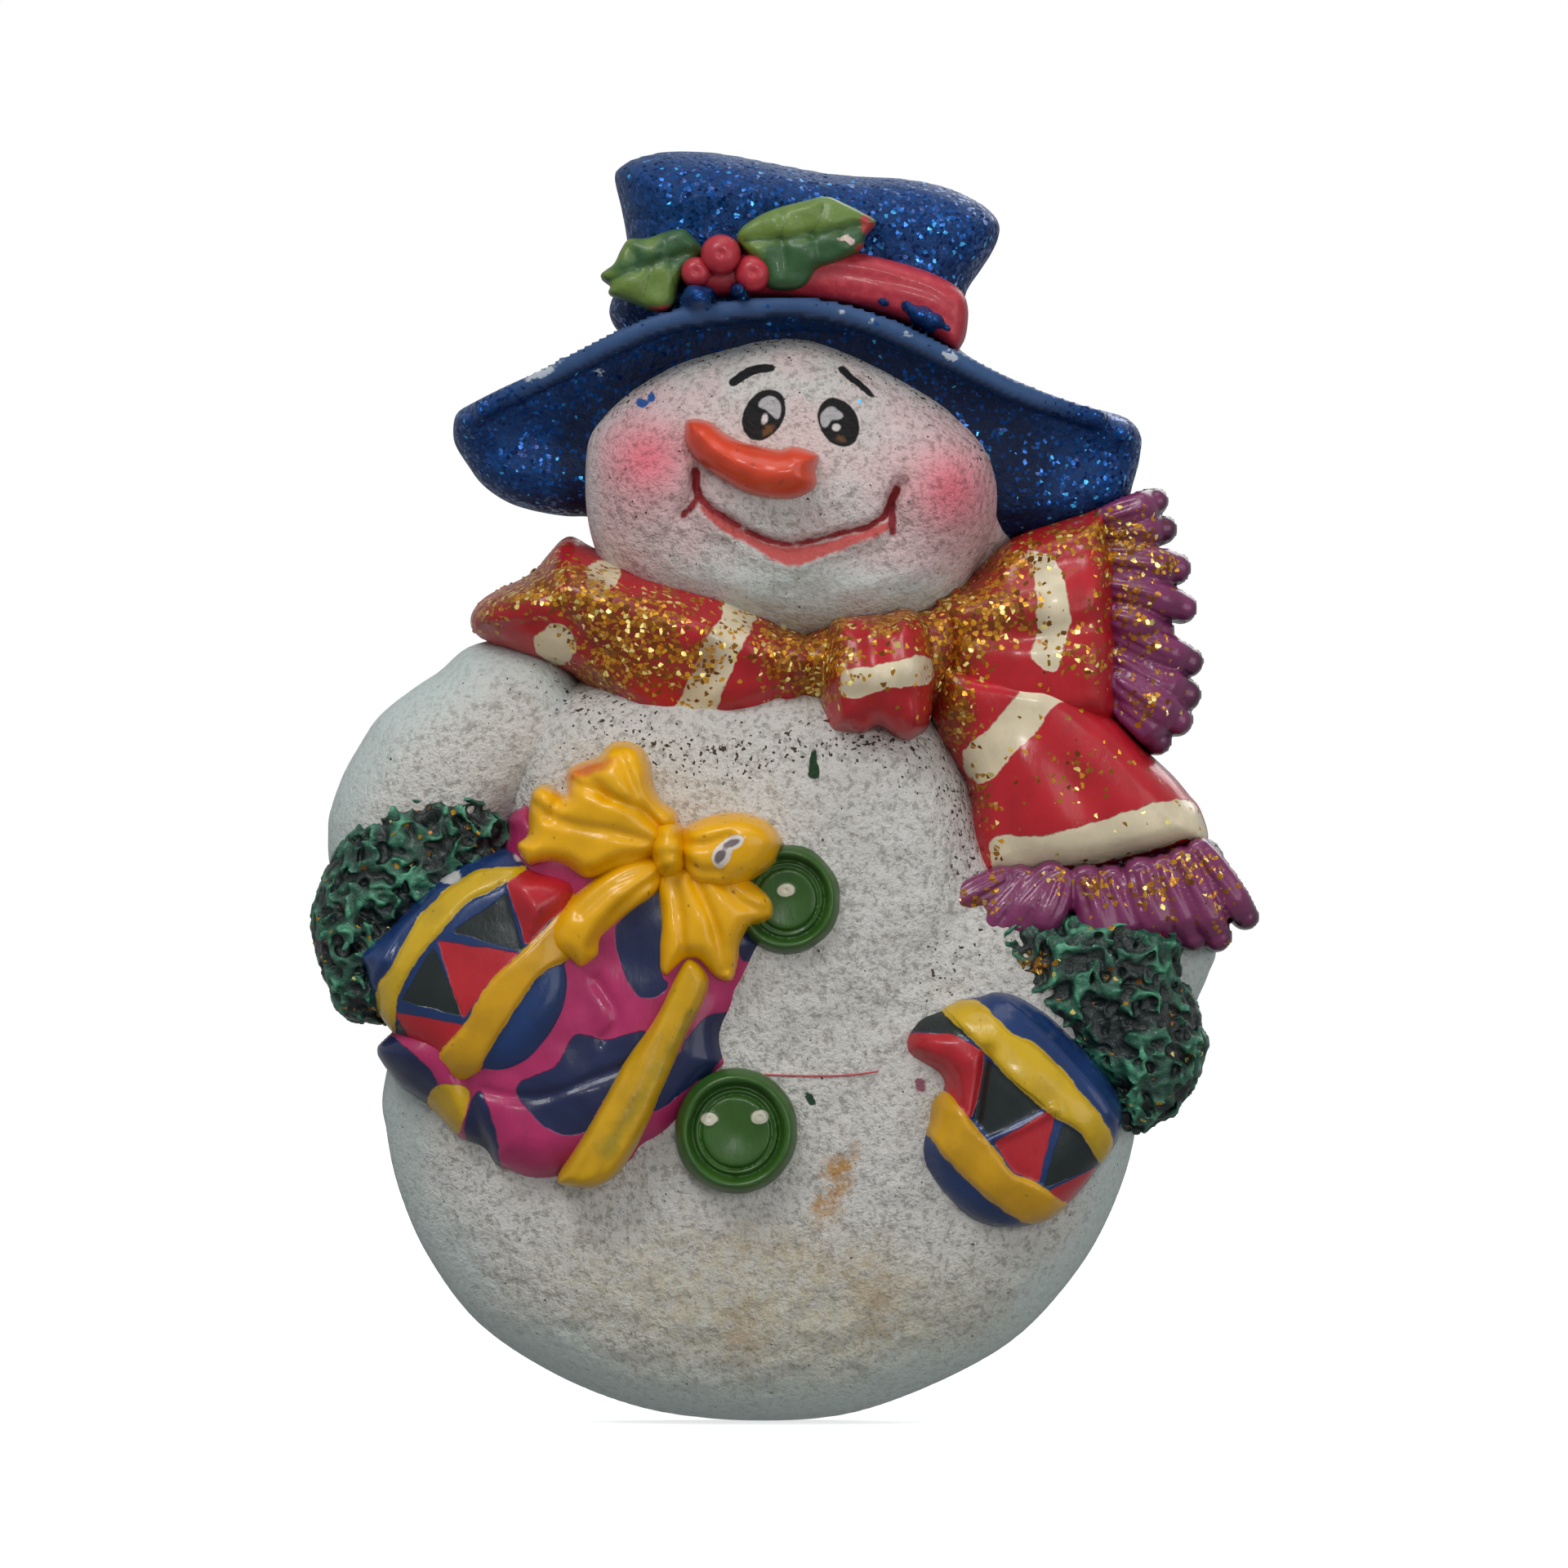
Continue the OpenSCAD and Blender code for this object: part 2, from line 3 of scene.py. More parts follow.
import bpy
import numpy as np
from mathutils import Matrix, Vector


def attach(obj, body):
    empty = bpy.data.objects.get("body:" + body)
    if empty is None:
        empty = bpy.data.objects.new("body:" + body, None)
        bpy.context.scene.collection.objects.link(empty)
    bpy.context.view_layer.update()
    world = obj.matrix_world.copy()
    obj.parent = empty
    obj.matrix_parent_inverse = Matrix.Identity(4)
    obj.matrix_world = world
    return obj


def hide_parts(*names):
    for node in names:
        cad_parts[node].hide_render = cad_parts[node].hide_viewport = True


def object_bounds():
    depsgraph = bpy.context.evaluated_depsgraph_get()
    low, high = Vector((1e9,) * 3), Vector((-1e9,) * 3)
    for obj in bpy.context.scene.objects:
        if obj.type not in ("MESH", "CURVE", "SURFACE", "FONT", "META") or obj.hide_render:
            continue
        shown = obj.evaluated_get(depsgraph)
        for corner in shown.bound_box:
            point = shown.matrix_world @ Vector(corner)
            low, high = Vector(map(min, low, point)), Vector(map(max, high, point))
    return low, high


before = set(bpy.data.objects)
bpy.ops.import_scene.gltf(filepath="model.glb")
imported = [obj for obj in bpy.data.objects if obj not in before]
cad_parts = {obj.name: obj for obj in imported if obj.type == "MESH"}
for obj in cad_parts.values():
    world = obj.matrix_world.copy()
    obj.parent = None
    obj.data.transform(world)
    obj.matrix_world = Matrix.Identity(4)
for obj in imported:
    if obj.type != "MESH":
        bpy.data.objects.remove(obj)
cad_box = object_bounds()

MM = 0.001
ROOT = "root"
# Sample spacing in mm, for broad, sharper and sharpest pieces
CELL = 0.2
SHARP = CELL * 0.75
SHARPER = CELL * 0.6

# Depths out of the back plane, in mm
WALL = 2.4
BODY_TOP = 10.4
HEAD_TOP = 10.8
HAT_TOP = 8.2
SCARF_TOP = 10.8
CUFF_TOP = 9.6
MITTEN_TOP = 12.8
GIFT_TOP = 11.8
BOW_TOP = 13.6
MAGNET_R = 8.0
MAGNET_T = 3.0


# ---------------------------------------------------------------- curves and distances

def curve(points, closed=True, steps=6):
    """Smooth curve through the points, as an array of (x, z)."""
    p = np.asarray(points, float)
    last = len(p) if closed else len(p) - 1
    out = []
    for i in range(last):
        if closed:
            a, b, c, d = (p[(i + k) % len(p)] for k in (-1, 0, 1, 2))
        else:
            a, b, c, d = (p[min(max(i + k, 0), len(p) - 1)] for k in (-1, 0, 1, 2))
        for t in np.arange(steps) / steps:
            out.append(0.5 * (2 * b + (c - a) * t + (2 * a - 5 * b + 4 * c - d) * t * t
                              + (3 * b - a - 3 * c + d) * t * t * t))
    if not closed:
        out.append(p[-1])
    return np.array(out)


def area_distance(x, z, line):
    """Distance in mm to a closed line, negative inside it."""
    best = np.full(x.shape, 1e9)
    inside = np.zeros(x.shape, bool)
    for (ax, az), (bx, bz) in zip(line, np.roll(line, -1, axis=0)):
        ex, ez = bx - ax, bz - az
        wx, wz = x - ax, z - az
        t = np.clip((wx * ex + wz * ez) / (ex * ex + ez * ez + 1e-12), 0, 1)
        best = np.minimum(best, (wx - ex * t) ** 2 + (wz - ez * t) ** 2)
        if ez:
            inside ^= ((az > z) != (bz > z)) & (wx < ex * wz / ez)
    return np.where(inside, -1, 1) * np.sqrt(best)


def line_distance(x, z, line):
    """Distance in mm to an open line, and how far along it the nearest point is, 0 to 1."""
    best = np.full(x.shape, 1e9)
    along = np.zeros(x.shape)
    count = len(line) - 1
    for i in range(count):
        (ax, az), (bx, bz) = line[i], line[i + 1]
        ex, ez = bx - ax, bz - az
        wx, wz = x - ax, z - az
        t = np.clip((wx * ex + wz * ez) / (ex * ex + ez * ez + 1e-12), 0, 1)
        here = (wx - ex * t) ** 2 + (wz - ez * t) ** 2
        closer = here < best
        best = np.where(closer, here, best)
        along = np.where(closer, (i + t) / count, along)
    return np.sqrt(best), along


def blob(x, z, centre, radii, turn=0.0):
    """Distance-like field of a turned ellipse, in mm, negative inside it."""
    a = math.radians(turn)
    dx, dz = x - centre[0], z - centre[1]
    u = (dx * math.cos(a) + dz * math.sin(a)) / radii[0]
    v = (dz * math.cos(a) - dx * math.sin(a)) / radii[1]
    return (np.sqrt(u * u + v * v) - 1) * min(radii)


def bump(x, z, centre, radii):
    """Smooth hill, 1 at its centre."""
    return np.exp(-(((x - centre[0]) / radii[0]) ** 2 + ((z - centre[1]) / radii[1]) ** 2))


def ease(low, high, value):
    """Smooth step from 0 at low to 1 at high."""
    t = np.clip((value - low) / (high - low), 0, 1)
    return t * t * (3 - 2 * t)


def soft_max(a, b, k):
    """The larger of a and b, with the corner rounded over k."""
    h = np.clip(0.5 + 0.5 * (a - b) / k, 0, 1)
    return b + (a - b) * h + k * h * (1 - h)


def soft_min(a, b, k):
    return -soft_max(-a, -b, k)


# ---------------------------------------------------------------- clay: sampled blocks and their skins

class Clay:
    """Sample points round one piece, in mm: x to the right, d out of the back plane and z up."""

    def __init__(self, line, deepest, back=0.0, cell=CELL):
        pad = 4 * cell
        low = np.min(line, axis=0) - pad
        high = np.max(line, axis=0) + pad
        self.cell = cell
        self.axes = [
            np.arange(low[0], high[0], cell),
            np.arange(back - pad, deepest + pad, cell),
            np.arange(low[1], high[1], cell),
        ]
        self.x, self.z = np.meshgrid(self.axes[0], self.axes[2], indexing="ij")
        self.side = area_distance(self.x, self.z, line)
        self.back = back

    def dome(self, edge, crown, rim, share=0.5):
        """Pillow height over the outline: a round rim of that width, then a broad swell to the crown."""
        t = np.clip(-self.side / rim, 0, 1)
        round_over = np.sqrt(1 - (1 - t) ** 2)
        return edge + (crown - edge) * (share * round_over + (1 - share) * self.swell())

    def swell(self):
        """Height of a sheet held at the outline and blown up evenly, 0 at the edge and 1 at the top."""
        sheet = None
        for skip, rounds in ((8, 160), (4, 90), (2, 60), (1, 30)):
            inside = self.side[::skip, ::skip] < 0
            if sheet is None:
                sheet = np.zeros(inside.shape)
            else:
                sheet = sheet.repeat(2, 0).repeat(2, 1)[:inside.shape[0], :inside.shape[1]]
            lift = (self.cell * skip) ** 2 / 4
            for _ in range(rounds):
                near = np.pad(sheet, 1)
                near = (near[2:, 1:-1] + near[:-2, 1:-1] + near[1:-1, 2:] + near[1:-1, :-2]) / 4
                sheet = np.where(inside, near + lift, 0)
        return sheet / max(sheet.max(), 1e-6)

    def lumps(self, size, seed):
        """Smooth random field, about -1 to 1, whose lumps have that size in mm."""
        rng = np.random.default_rng(seed)
        field = rng.uniform(-1, 1, [int(len(a) * self.cell / size) + 5 for a in self.axes])
        for axis, places in enumerate(self.axes):
            p = (places - places[0]) / size + 1
            i = np.floor(p).astype(int)
            f = p - i
            taps = ((1 - f) ** 3 / 6, (3 * f ** 3 - 6 * f ** 2 + 4) / 6,
                    (-3 * f ** 3 + 3 * f ** 2 + 3 * f + 1) / 6, f ** 3 / 6)
            shape = [1, 1, 1]
            shape[axis] = len(places)
            field = sum(np.take(field, i + k - 1, axis) * w.reshape(shape) for k, w in enumerate(taps))
        return field * 2.6

    def solid(self, top, soften=0.35):
        """Field that is negative inside the piece whose front surface stands at top."""
        gx, gz = np.gradient(top, self.cell)
        slope = np.sqrt(1 + np.minimum(gx * gx + gz * gz, 6))
        d = self.axes[1][None, :, None]
        roof = (d - top[:, None, :]) / slope[:, None, :]
        return soft_max(soft_max(roof, self.side[:, None, :], soften), self.back - d, 0.25)


def lookup(field, p):
    """Trilinear value of a 3D field at grid places p."""
    limit = np.array(field.shape) - 2
    i = np.clip(np.floor(p).astype(int), 0, limit)
    f = np.clip(p - i, 0, 1)
    total = 0
    for a in (0, 1):
        for b in (0, 1):
            for c in (0, 1):
                w = (np.where(a, f[:, 0], 1 - f[:, 0]) * np.where(b, f[:, 1], 1 - f[:, 1])
                     * np.where(c, f[:, 2], 1 - f[:, 2]))
                total = total + w * field[i[:, 0] + a, i[:, 1] + b, i[:, 2] + c]
    return total


def skin(field):
    """Quads over the surface where the field is 0, with the points settled onto it."""
    inside = field < 0
    shape = np.array(field.shape) - 1
    corners = [np.array((a, b, c)) for a in (0, 1) for b in (0, 1) for c in (0, 1)]
    count = sum(inside[a:a + shape[0], b:b + shape[1], c:c + shape[2]].astype(np.int8) for a, b, c in corners)
    cells = np.argwhere((count > 0) & (count < 8))
    number = np.full(shape, -1, np.int64)
    number[tuple(cells.T)] = np.arange(len(cells))
    total = np.zeros((len(cells), 3))
    hits = np.zeros(len(cells))
    for a in corners:
        for axis in range(3):
            if a[axis]:
                continue
            b = a.copy()
            b[axis] = 1
            fa = field[tuple((cells + a).T)]
            fb = field[tuple((cells + b).T)]
            cut = (fa < 0) != (fb < 0)
            place = (cells + a)[cut].astype(float)
            place[:, axis] += fa[cut] / (fa[cut] - fb[cut])
            total[cut] += place
            hits[cut] += 1
    points = total / hits[:, None]
    for _ in range(3):
        value = lookup(field, points)
        slope = np.stack([lookup(field, points + s) - lookup(field, points - s) for s in np.eye(3) * 0.5], 1)
        step = value[:, None] * slope / np.maximum((slope ** 2).sum(1), 1e-9)[:, None]
        points -= np.clip(step, -0.3, 0.3)
    quads = []
    for axis in range(3):
        u, v = np.eye(3, dtype=int)[(axis + 1) % 3], np.eye(3, dtype=int)[(axis + 2) % 3]
        near = np.take(inside, np.arange(shape[axis]), axis)
        far = np.take(inside, np.arange(1, shape[axis] + 1), axis)
        for flip, mask in ((False, near & ~far), (True, ~near & far)):
            e = np.argwhere(mask)
            e = e[(e @ u > 0) & (e @ v > 0) & (e @ u < shape @ u) & (e @ v < shape @ v)]
            ring = [number[tuple((e - s).T)] for s in (0 * u, u, u + v, v)]
            quads.append(np.stack(ring[::-1] if flip else ring, 1))
    return points, np.concatenate(quads)


def settle(name, mesh, nodes=()):
    """Object for the mesh, on the one body, in place of those CAD nodes."""
    piece = bpy.data.objects.new(name, mesh)
    bpy.context.scene.collection.objects.link(piece)
    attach(piece, ROOT)
    if nodes:
        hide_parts(*nodes)
    return piece


def build(name, clay, field, paints, material, nodes):
    """Mesh object of the clay's skin. Each paint is a flat field over the clay, kept as a named attribute."""
    places, quads = skin(field)
    start = np.array([a[0] for a in clay.axes])
    xdz = places * clay.cell + start
    points = np.stack([xdz[:, 0], -xdz[:, 1], xdz[:, 2]], 1) * MM
    mesh = bpy.data.meshes.new(name)
    mesh.vertices.add(len(points))
    mesh.vertices.foreach_set("co", points.ravel())
    mesh.loops.add(quads.size)
    mesh.loops.foreach_set("vertex_index", quads.ravel().astype(np.int32))
    mesh.polygons.add(len(quads))
    mesh.polygons.foreach_set("loop_start", np.arange(0, quads.size, 4, dtype=np.int32))
    mesh.update(calc_edges=True)
    mesh.shade_smooth()
    for key, value in paints.items():
        if value.ndim == 2:
            value = np.repeat(value[:, None, :], 2, 1)
            where = places * (1, 0, 1)
        else:
            where = places
        data = mesh.attributes.new(key, "FLOAT", "POINT")
        data.data.foreach_set("value", lookup(value, where).astype(np.float32))
    depth = mesh.attributes.new("depth", "FLOAT", "POINT")
    depth.data.foreach_set("value", xdz[:, 1].astype(np.float32))
    mesh.materials.append(material)
    return settle(name, mesh, nodes)


# ---------------------------------------------------------------- materials

def ink(r, g, b):
    """Linear colour from the 0-255 colour that a screen shows."""
    out = []
    for value in (r, g, b):
        c = value / 255
        out.append(c / 12.92 if c <= 0.04045 else ((c + 0.055) / 1.055) ** 2.4)
    return (*out, 1)


class Look:
    """Builds one node material. Lengths are in mm."""

    def __init__(self, name):
        self.material = bpy.data.materials.new(name)
        self.material.use_nodes = True
        self.tree = self.material.node_tree
        self.tree.nodes.clear()
        place = self.add("ShaderNodeTexCoord")
        self.mm = self.maths("SCALE", place.outputs["Object"], 1 / MM, vector=True)

    def add(self, kind, **settings):
        node = self.tree.nodes.new(kind)
        for key, value in settings.items():
            setattr(node, key, value)
        return node

    def put(self, socket, value):
        if isinstance(value, bpy.types.NodeSocket):
            self.tree.links.new(value, socket)
        else:
            socket.default_value = value

    def maths(self, operation, a, b=0.0, vector=False, clamp=False):
        if vector:
            node = self.add("ShaderNodeVectorMath", operation=operation)
            self.put(node.inputs[0], a)
            self.put(node.inputs["Scale"] if operation == "SCALE" else node.inputs[1], b)
            return node.outputs[0]
        node = self.add("ShaderNodeMath", operation=operation, use_clamp=clamp)
        self.put(node.inputs[0], a)
        self.put(node.inputs[1], b)
        return node.outputs[0]

    def attribute(self, name):
        return self.add("ShaderNodeAttribute", attribute_name=name).outputs["Fac"]

    def noise(self, size, detail=3.0, rough=0.55, shift=0.0, stretch=(1, 1, 1)):
        moved = self.add("ShaderNodeMapping")
        self.put(moved.inputs["Vector"], self.mm)
        moved.inputs["Location"].default_value = (shift, shift * 0.7, shift * 1.3)
        moved.inputs["Scale"].default_value = stretch
        node = self.add("ShaderNodeTexNoise")
        self.put(node.inputs["Vector"], moved.outputs[0])
        node.inputs["Scale"].default_value = 1 / size
        node.inputs["Detail"].default_value = detail
        node.inputs["Roughness"].default_value = rough
        return node.outputs["Fac"]

    def span(self, value, low, high, to_low=0.0, to_high=1.0):
        node = self.add("ShaderNodeMapRange", interpolation_type="SMOOTHSTEP")
        self.put(node.inputs["Value"], value)
        for key, number in (("From Min", low), ("From Max", high), ("To Min", to_low), ("To Max", to_high)):
            node.inputs[key].default_value = number
        return node.outputs["Result"]

    def mix(self, amount, a, b, blend="MIX"):
        node = self.add("ShaderNodeMix", data_type="RGBA", blend_type=blend)
        self.put(node.inputs["Factor"], amount)
        self.put(node.inputs[6], a)
        self.put(node.inputs[7], b)
        return node.outputs[2]

    def edge(self, name, soft=0.06, wobble=0.12, size=0.7, shift=0.0):
        """1 inside a painted area and 0 outside, with a hand-painted edge."""
        ragged = self.maths("MULTIPLY", self.maths("SUBTRACT", self.noise(size, 2, 0.5, shift), 0.5),
                            wobble * 2)
        return self.span(self.maths("ADD", self.attribute(name), ragged), soft, -soft)

    def paint(self, colour, rough, height, strength=1.0, coat=0.0, metal=0.0, specular=0.5, normal=None):
        """Painted surface. The height is in mm."""
        shader = self.add("ShaderNodeBsdfPrincipled")
        self.put(shader.inputs["Base Color"], colour)
        self.put(shader.inputs["Roughness"], rough)
        shader.inputs["Metallic"].default_value = metal
        shader.inputs["Specular IOR Level"].default_value = specular
        shader.inputs["Coat Weight"].default_value = coat
        shader.inputs["Coat Roughness"].default_value = 0.1
        relief = self.add("ShaderNodeBump")
        relief.inputs["Strength"].default_value = strength
        relief.inputs["Distance"].default_value = MM
        self.put(relief.inputs["Height"], height)
        if normal is not None:
            self.put(relief.inputs["Normal"], normal)
        self.put(shader.inputs["Normal"], relief.outputs["Normal"])
        return shader.outputs[0]

    def flakes(self, size, tilt, shift=0.0):
        """Small cells like loose flakes: random numbers per cell, the gap between cells, a tilted normal."""
        moved = self.maths("ADD", self.mm, (shift, shift, shift), vector=True)
        cells = self.add("ShaderNodeTexVoronoi")
        self.put(cells.inputs["Vector"], moved)
        cells.inputs["Scale"].default_value = 1 / size
        gap = self.add("ShaderNodeTexVoronoi", feature="DISTANCE_TO_EDGE")
        self.put(gap.inputs["Vector"], moved)
        gap.inputs["Scale"].default_value = 1 / size
        parts = self.add("ShaderNodeSeparateColor")
        self.put(parts.inputs[0], cells.outputs["Color"])
        lean = self.maths("SUBTRACT", cells.outputs["Color"], (0.5, 0.5, 0.5), vector=True)
        lean = self.maths("SCALE", lean, tilt, vector=True)
        surface = self.add("ShaderNodeNewGeometry")
        leaning = self.maths("ADD", surface.outputs["Normal"], lean, vector=True)
        normal = self.add("ShaderNodeVectorMath", operation="NORMALIZE")
        self.put(normal.inputs[0], leaning)
        return parts.outputs, gap.outputs["Distance"], normal.outputs[0]

    def blend(self, amount, under, over):
        node = self.add("ShaderNodeMixShader")
        self.put(node.inputs[0], amount)
        self.put(node.inputs[1], under)
        self.put(node.inputs[2], over)
        return node.outputs[0]

    def close(self, shader):
        out = self.add("ShaderNodeOutputMaterial")
        self.tree.links.new(shader, out.inputs["Surface"])
        return self.material


def with_bare_back(look, colour):
    """The paint stops near the back edge, where the cast resin shows."""
    ragged = look.maths("MULTIPLY", look.noise(1.6, 3, 0.6, 9), 0.7)
    painted = look.span(look.maths("SUBTRACT", look.attribute("depth"), ragged), -0.1, 0.15)
    resin = look.mix(look.noise(2.5, 4, 0.6, 4), ink(196, 189, 176), ink(224, 219, 208))
    return look.mix(painted, resin, colour)


def gold_over(look, under):
    """Loose gold glitter in glue, as thick as the attribute gold says."""
    chance, gap, normal = look.flakes(0.26, 1.1, 3.3)
    density = look.attribute("gold")
    here = look.maths("GREATER_THAN", density, chance[0])
    here = look.maths("MULTIPLY", here, look.span(gap, 0.03, 0.08))
    tone = look.mix(look.span(chance[1], 0.1, 0.9), ink(126, 74, 12), ink(240, 176, 44))
    # The palest flakes stand in for sparkle: painted highlight on real flakes.
    tone = look.mix(look.span(chance[2], 0.86, 0.9), tone, ink(255, 236, 140))
    over = look.paint(tone, 0.34, look.noise(0.3, 1, 0.5, 7), 0.05, metal=0.5, normal=normal)
    return look.blend(here, under, over)


def glue_tint(look, colour):
    """Glitter glue browns the paint between the flakes."""
    amount = look.span(look.attribute("gold"), 0.15, 0.9, 0.0, 0.66)
    return look.mix(amount, colour, ink(104, 44, 14))


def stucco(name, layers=(), stains=(), tints=(), pink=0.0):
    """Rough brushed white. A layer is (attribute, colour, soft, wobble), a stain has a strength too, and a
    tint is (attribute, colour, strength), where the attribute itself is the mask."""
    look = Look(name)
    broad = look.noise(5.0, 3, 0.5, 2)
    grain = look.noise(0.42, 4, 0.7, 5)
    fine = look.noise(0.2, 2, 0.6, 8)
    brushed = look.noise(0.6, 3, 0.6, 31, (1, 1, 0.35))
    colour = look.mix(broad, ink(211, 208, 202), ink(224, 222, 217))
    if pink:
        colour = look.mix(look.maths("MULTIPLY", look.span(look.noise(3.2, 2, 0.5, 17), 0.4, 0.65), pink),
                          colour, ink(228, 200, 198))
    for key, tint, strength in tints:
        colour = look.mix(look.maths("MULTIPLY", look.attribute(key), strength), colour, tint)
    airbrush = look.attribute("airbrush")
    colour = look.mix(look.maths("MULTIPLY", airbrush, 0.85), colour, ink(192, 206, 203))
    calm = look.maths("SUBTRACT", 1.0, look.maths("MULTIPLY", airbrush, 0.6))
    # Darker colour in the pits of the grain: painted shade in the hollows, partly dirt.
    pit_shade_and_dirt = look.maths("MULTIPLY", look.span(grain, 0.52, 0.36), calm)
    pit_shade_and_dirt_colour = look.mix(1.0, colour, ink(186, 182, 178), "MULTIPLY")
    colour = look.mix(look.maths("MULTIPLY", pit_shade_and_dirt, 0.75), colour, pit_shade_and_dirt_colour)
    # Dark specks, made denser where the attribute speck_density is higher.
    specks = look.maths("ADD", look.noise(0.26, 1, 0.5, 61),
                        look.maths("MULTIPLY", look.attribute("speck_density"), 0.14))
    colour = look.mix(look.span(specks, 0.77, 0.81), colour, ink(72, 60, 48))
    for index, (key, tint, soft, wobble, strength) in enumerate(stains):
        mask = look.maths("MULTIPLY", look.edge(key, soft, wobble, 1.0, index + 40), strength)
        mask = look.maths("MULTIPLY", mask, look.span(look.noise(0.7, 4, 0.7, index + 70), 0.3, 0.65))
        colour = look.mix(mask, colour, tint)
    gloss = 0.62
    for index, (key, tint, soft, wobble) in enumerate(layers):
        mask = look.edge(key, soft, wobble, 0.5, index + 3)
        colour = look.mix(mask, colour, tint)
        gloss = look.maths("SUBTRACT", gloss, look.maths("MULTIPLY", mask, 0.12))
    colour = with_bare_back(look, colour)
    height = look.maths("ADD", look.maths("MULTIPLY", grain, 0.4), look.maths("MULTIPLY", fine, 0.12))
    height = look.maths("ADD", height, look.maths("MULTIPLY", brushed, 0.2))
    height = look.maths("MULTIPLY", height, calm)
    return look.close(look.paint(colour, gloss, height, 0.9, specular=0.3))


def enamel(name, base, layers=(), rough=0.24, streak=0.06, gold=False, back=False, shade=0.75, spots=0.0):
    """Glossy brush enamel. A layer is (attribute, colour, soft, wobble); each coat has a raised edge."""
    look = Look(name)
    brush = look.noise(0.9, 4, 0.6, 3, (1, 1, 0.4))
    cloudy = look.span(look.noise(2.4, 3, 0.55, 12), 0.35, 0.7)
    colour = base
    height = look.maths("MULTIPLY", brush, streak)
    for index, (key, tint, soft, wobble) in enumerate(layers):
        mask = look.edge(key, soft, wobble, 0.8, index * 5)
        colour = look.mix(mask, colour, tint)
        height = look.maths("ADD", height, look.maths("MULTIPLY", mask, 0.05))
    darker = look.mix(1.0, colour, (shade, shade, shade, 1), "MULTIPLY")
    colour = look.mix(look.maths("MULTIPLY", cloudy, 0.8), colour, darker)
    if spots:
        specks = look.span(look.noise(0.5, 1, 0.5, 51), 0.72, 0.77)
        colour = look.mix(look.maths("MULTIPLY", specks, spots), colour, ink(60, 42, 25))
    if gold:
        colour = glue_tint(look, colour)
    if back:
        colour = with_bare_back(look, colour)
    rougher = look.maths("ADD", look.maths("MULTIPLY", look.noise(1.3, 3, 0.6, 21), 0.22), rough - 0.08)
    shader = look.paint(colour, rougher, height, 0.8, coat=0.2, specular=0.4)
    return look.close(gold_over(look, shader) if gold else shader)


def blue_glitter(name):
    """Navy under fine blue glitter. The attribute smooth thins the glitter and lightens the paint as painted
    highlight, and under darkens the paint as painted shade.
    """
    look = Look(name)
    smooth = look.attribute("smooth")
    under = look.attribute("under")
    colour = look.mix(look.noise(0.5, 4, 0.7, 3), ink(8, 30, 70), ink(22, 74, 136))
    # The smooth parts get a lighter blue: smooth paint with less glitter, lightened as a painted highlight.
    smooth_and_lit = look.mix(look.noise(0.9, 4, 0.6, 8), ink(44, 70, 112), ink(66, 96, 138))
    colour = look.mix(smooth, colour, smooth_and_lit)
    # Painted shade: under darkens the brim between its rim and the head, and the crown towards the band.
    colour = look.mix(look.maths("MULTIPLY", under, 0.85), colour, ink(8, 18, 44))
    colour = look.mix(look.edge("chips", 0.05, 0.25, 0.4, 6), colour, ink(176, 186, 196))
    colour = with_bare_back(look, colour)
    chance, gap, normal = look.flakes(0.22, 1.0)
    rare = look.maths("SUBTRACT", 0.62, look.maths("MULTIPLY", smooth, 0.6))
    rare = look.maths("SUBTRACT", rare, look.maths("MULTIPLY", under, 0.36))
    rare = look.maths("MULTIPLY", rare, look.span(look.noise(1.6, 3, 0.6, 14), 0.25, 0.55, 0.5, 1.0))
    here = look.maths("GREATER_THAN", rare, chance[0])
    here = look.maths("MULTIPLY", here, look.span(gap, 0.02, 0.07))
    here = look.maths("MULTIPLY", here, look.span(look.attribute("depth"), 0.4, 0.9))
    tone = look.mix(look.span(chance[1], 0.2, 0.95), ink(4, 40, 96), ink(16, 94, 180))
    # The rare bright blue flakes stand in for sparkle: painted highlight on real flakes.
    tone = look.mix(look.span(chance[2], 0.95, 0.97), tone, ink(70, 180, 250))
    height = look.maths("MULTIPLY", look.noise(0.35, 3, 0.7, 5), look.maths("SUBTRACT", 0.18,
                        look.maths("MULTIPLY", smooth, 0.15)))
    base = look.paint(colour, 0.5, height, 0.9, specular=0.2)
    over = look.paint(tone, 0.3, look.noise(0.3, 1, 0.5, 7), 0.05, metal=0.5, normal=normal)
    return look.close(look.blend(here, base, over))


def fur_green(name):
    """Dry-brushed green over near-black, lighter on the tufts."""
    look = Look(name)
    tuft = look.attribute("tuft")
    colour = look.mix(look.span(tuft, -0.2, 0.55), ink(10, 28, 26), ink(34, 94, 72))
    tips = look.maths("MULTIPLY", look.span(tuft, 0.35, 0.8), look.span(look.noise(1.1, 3, 0.6, 4), 0.35, 0.6))
    colour = look.mix(tips, colour, ink(82, 158, 122))
    pale = look.span(look.noise(0.55, 2, 0.5, 33), 0.74, 0.78)
    colour = look.mix(look.maths("MULTIPLY", pale, look.span(tuft, 0.1, 0.5)), colour, ink(186, 206, 196))
    colour = glue_tint(look, colour)
    height = look.maths("MULTIPLY", look.noise(0.3, 3, 0.7, 5), 0.16)
    shader = look.paint(colour, 0.42, height, 0.9, coat=0.15)
    return look.close(gold_over(look, shader))


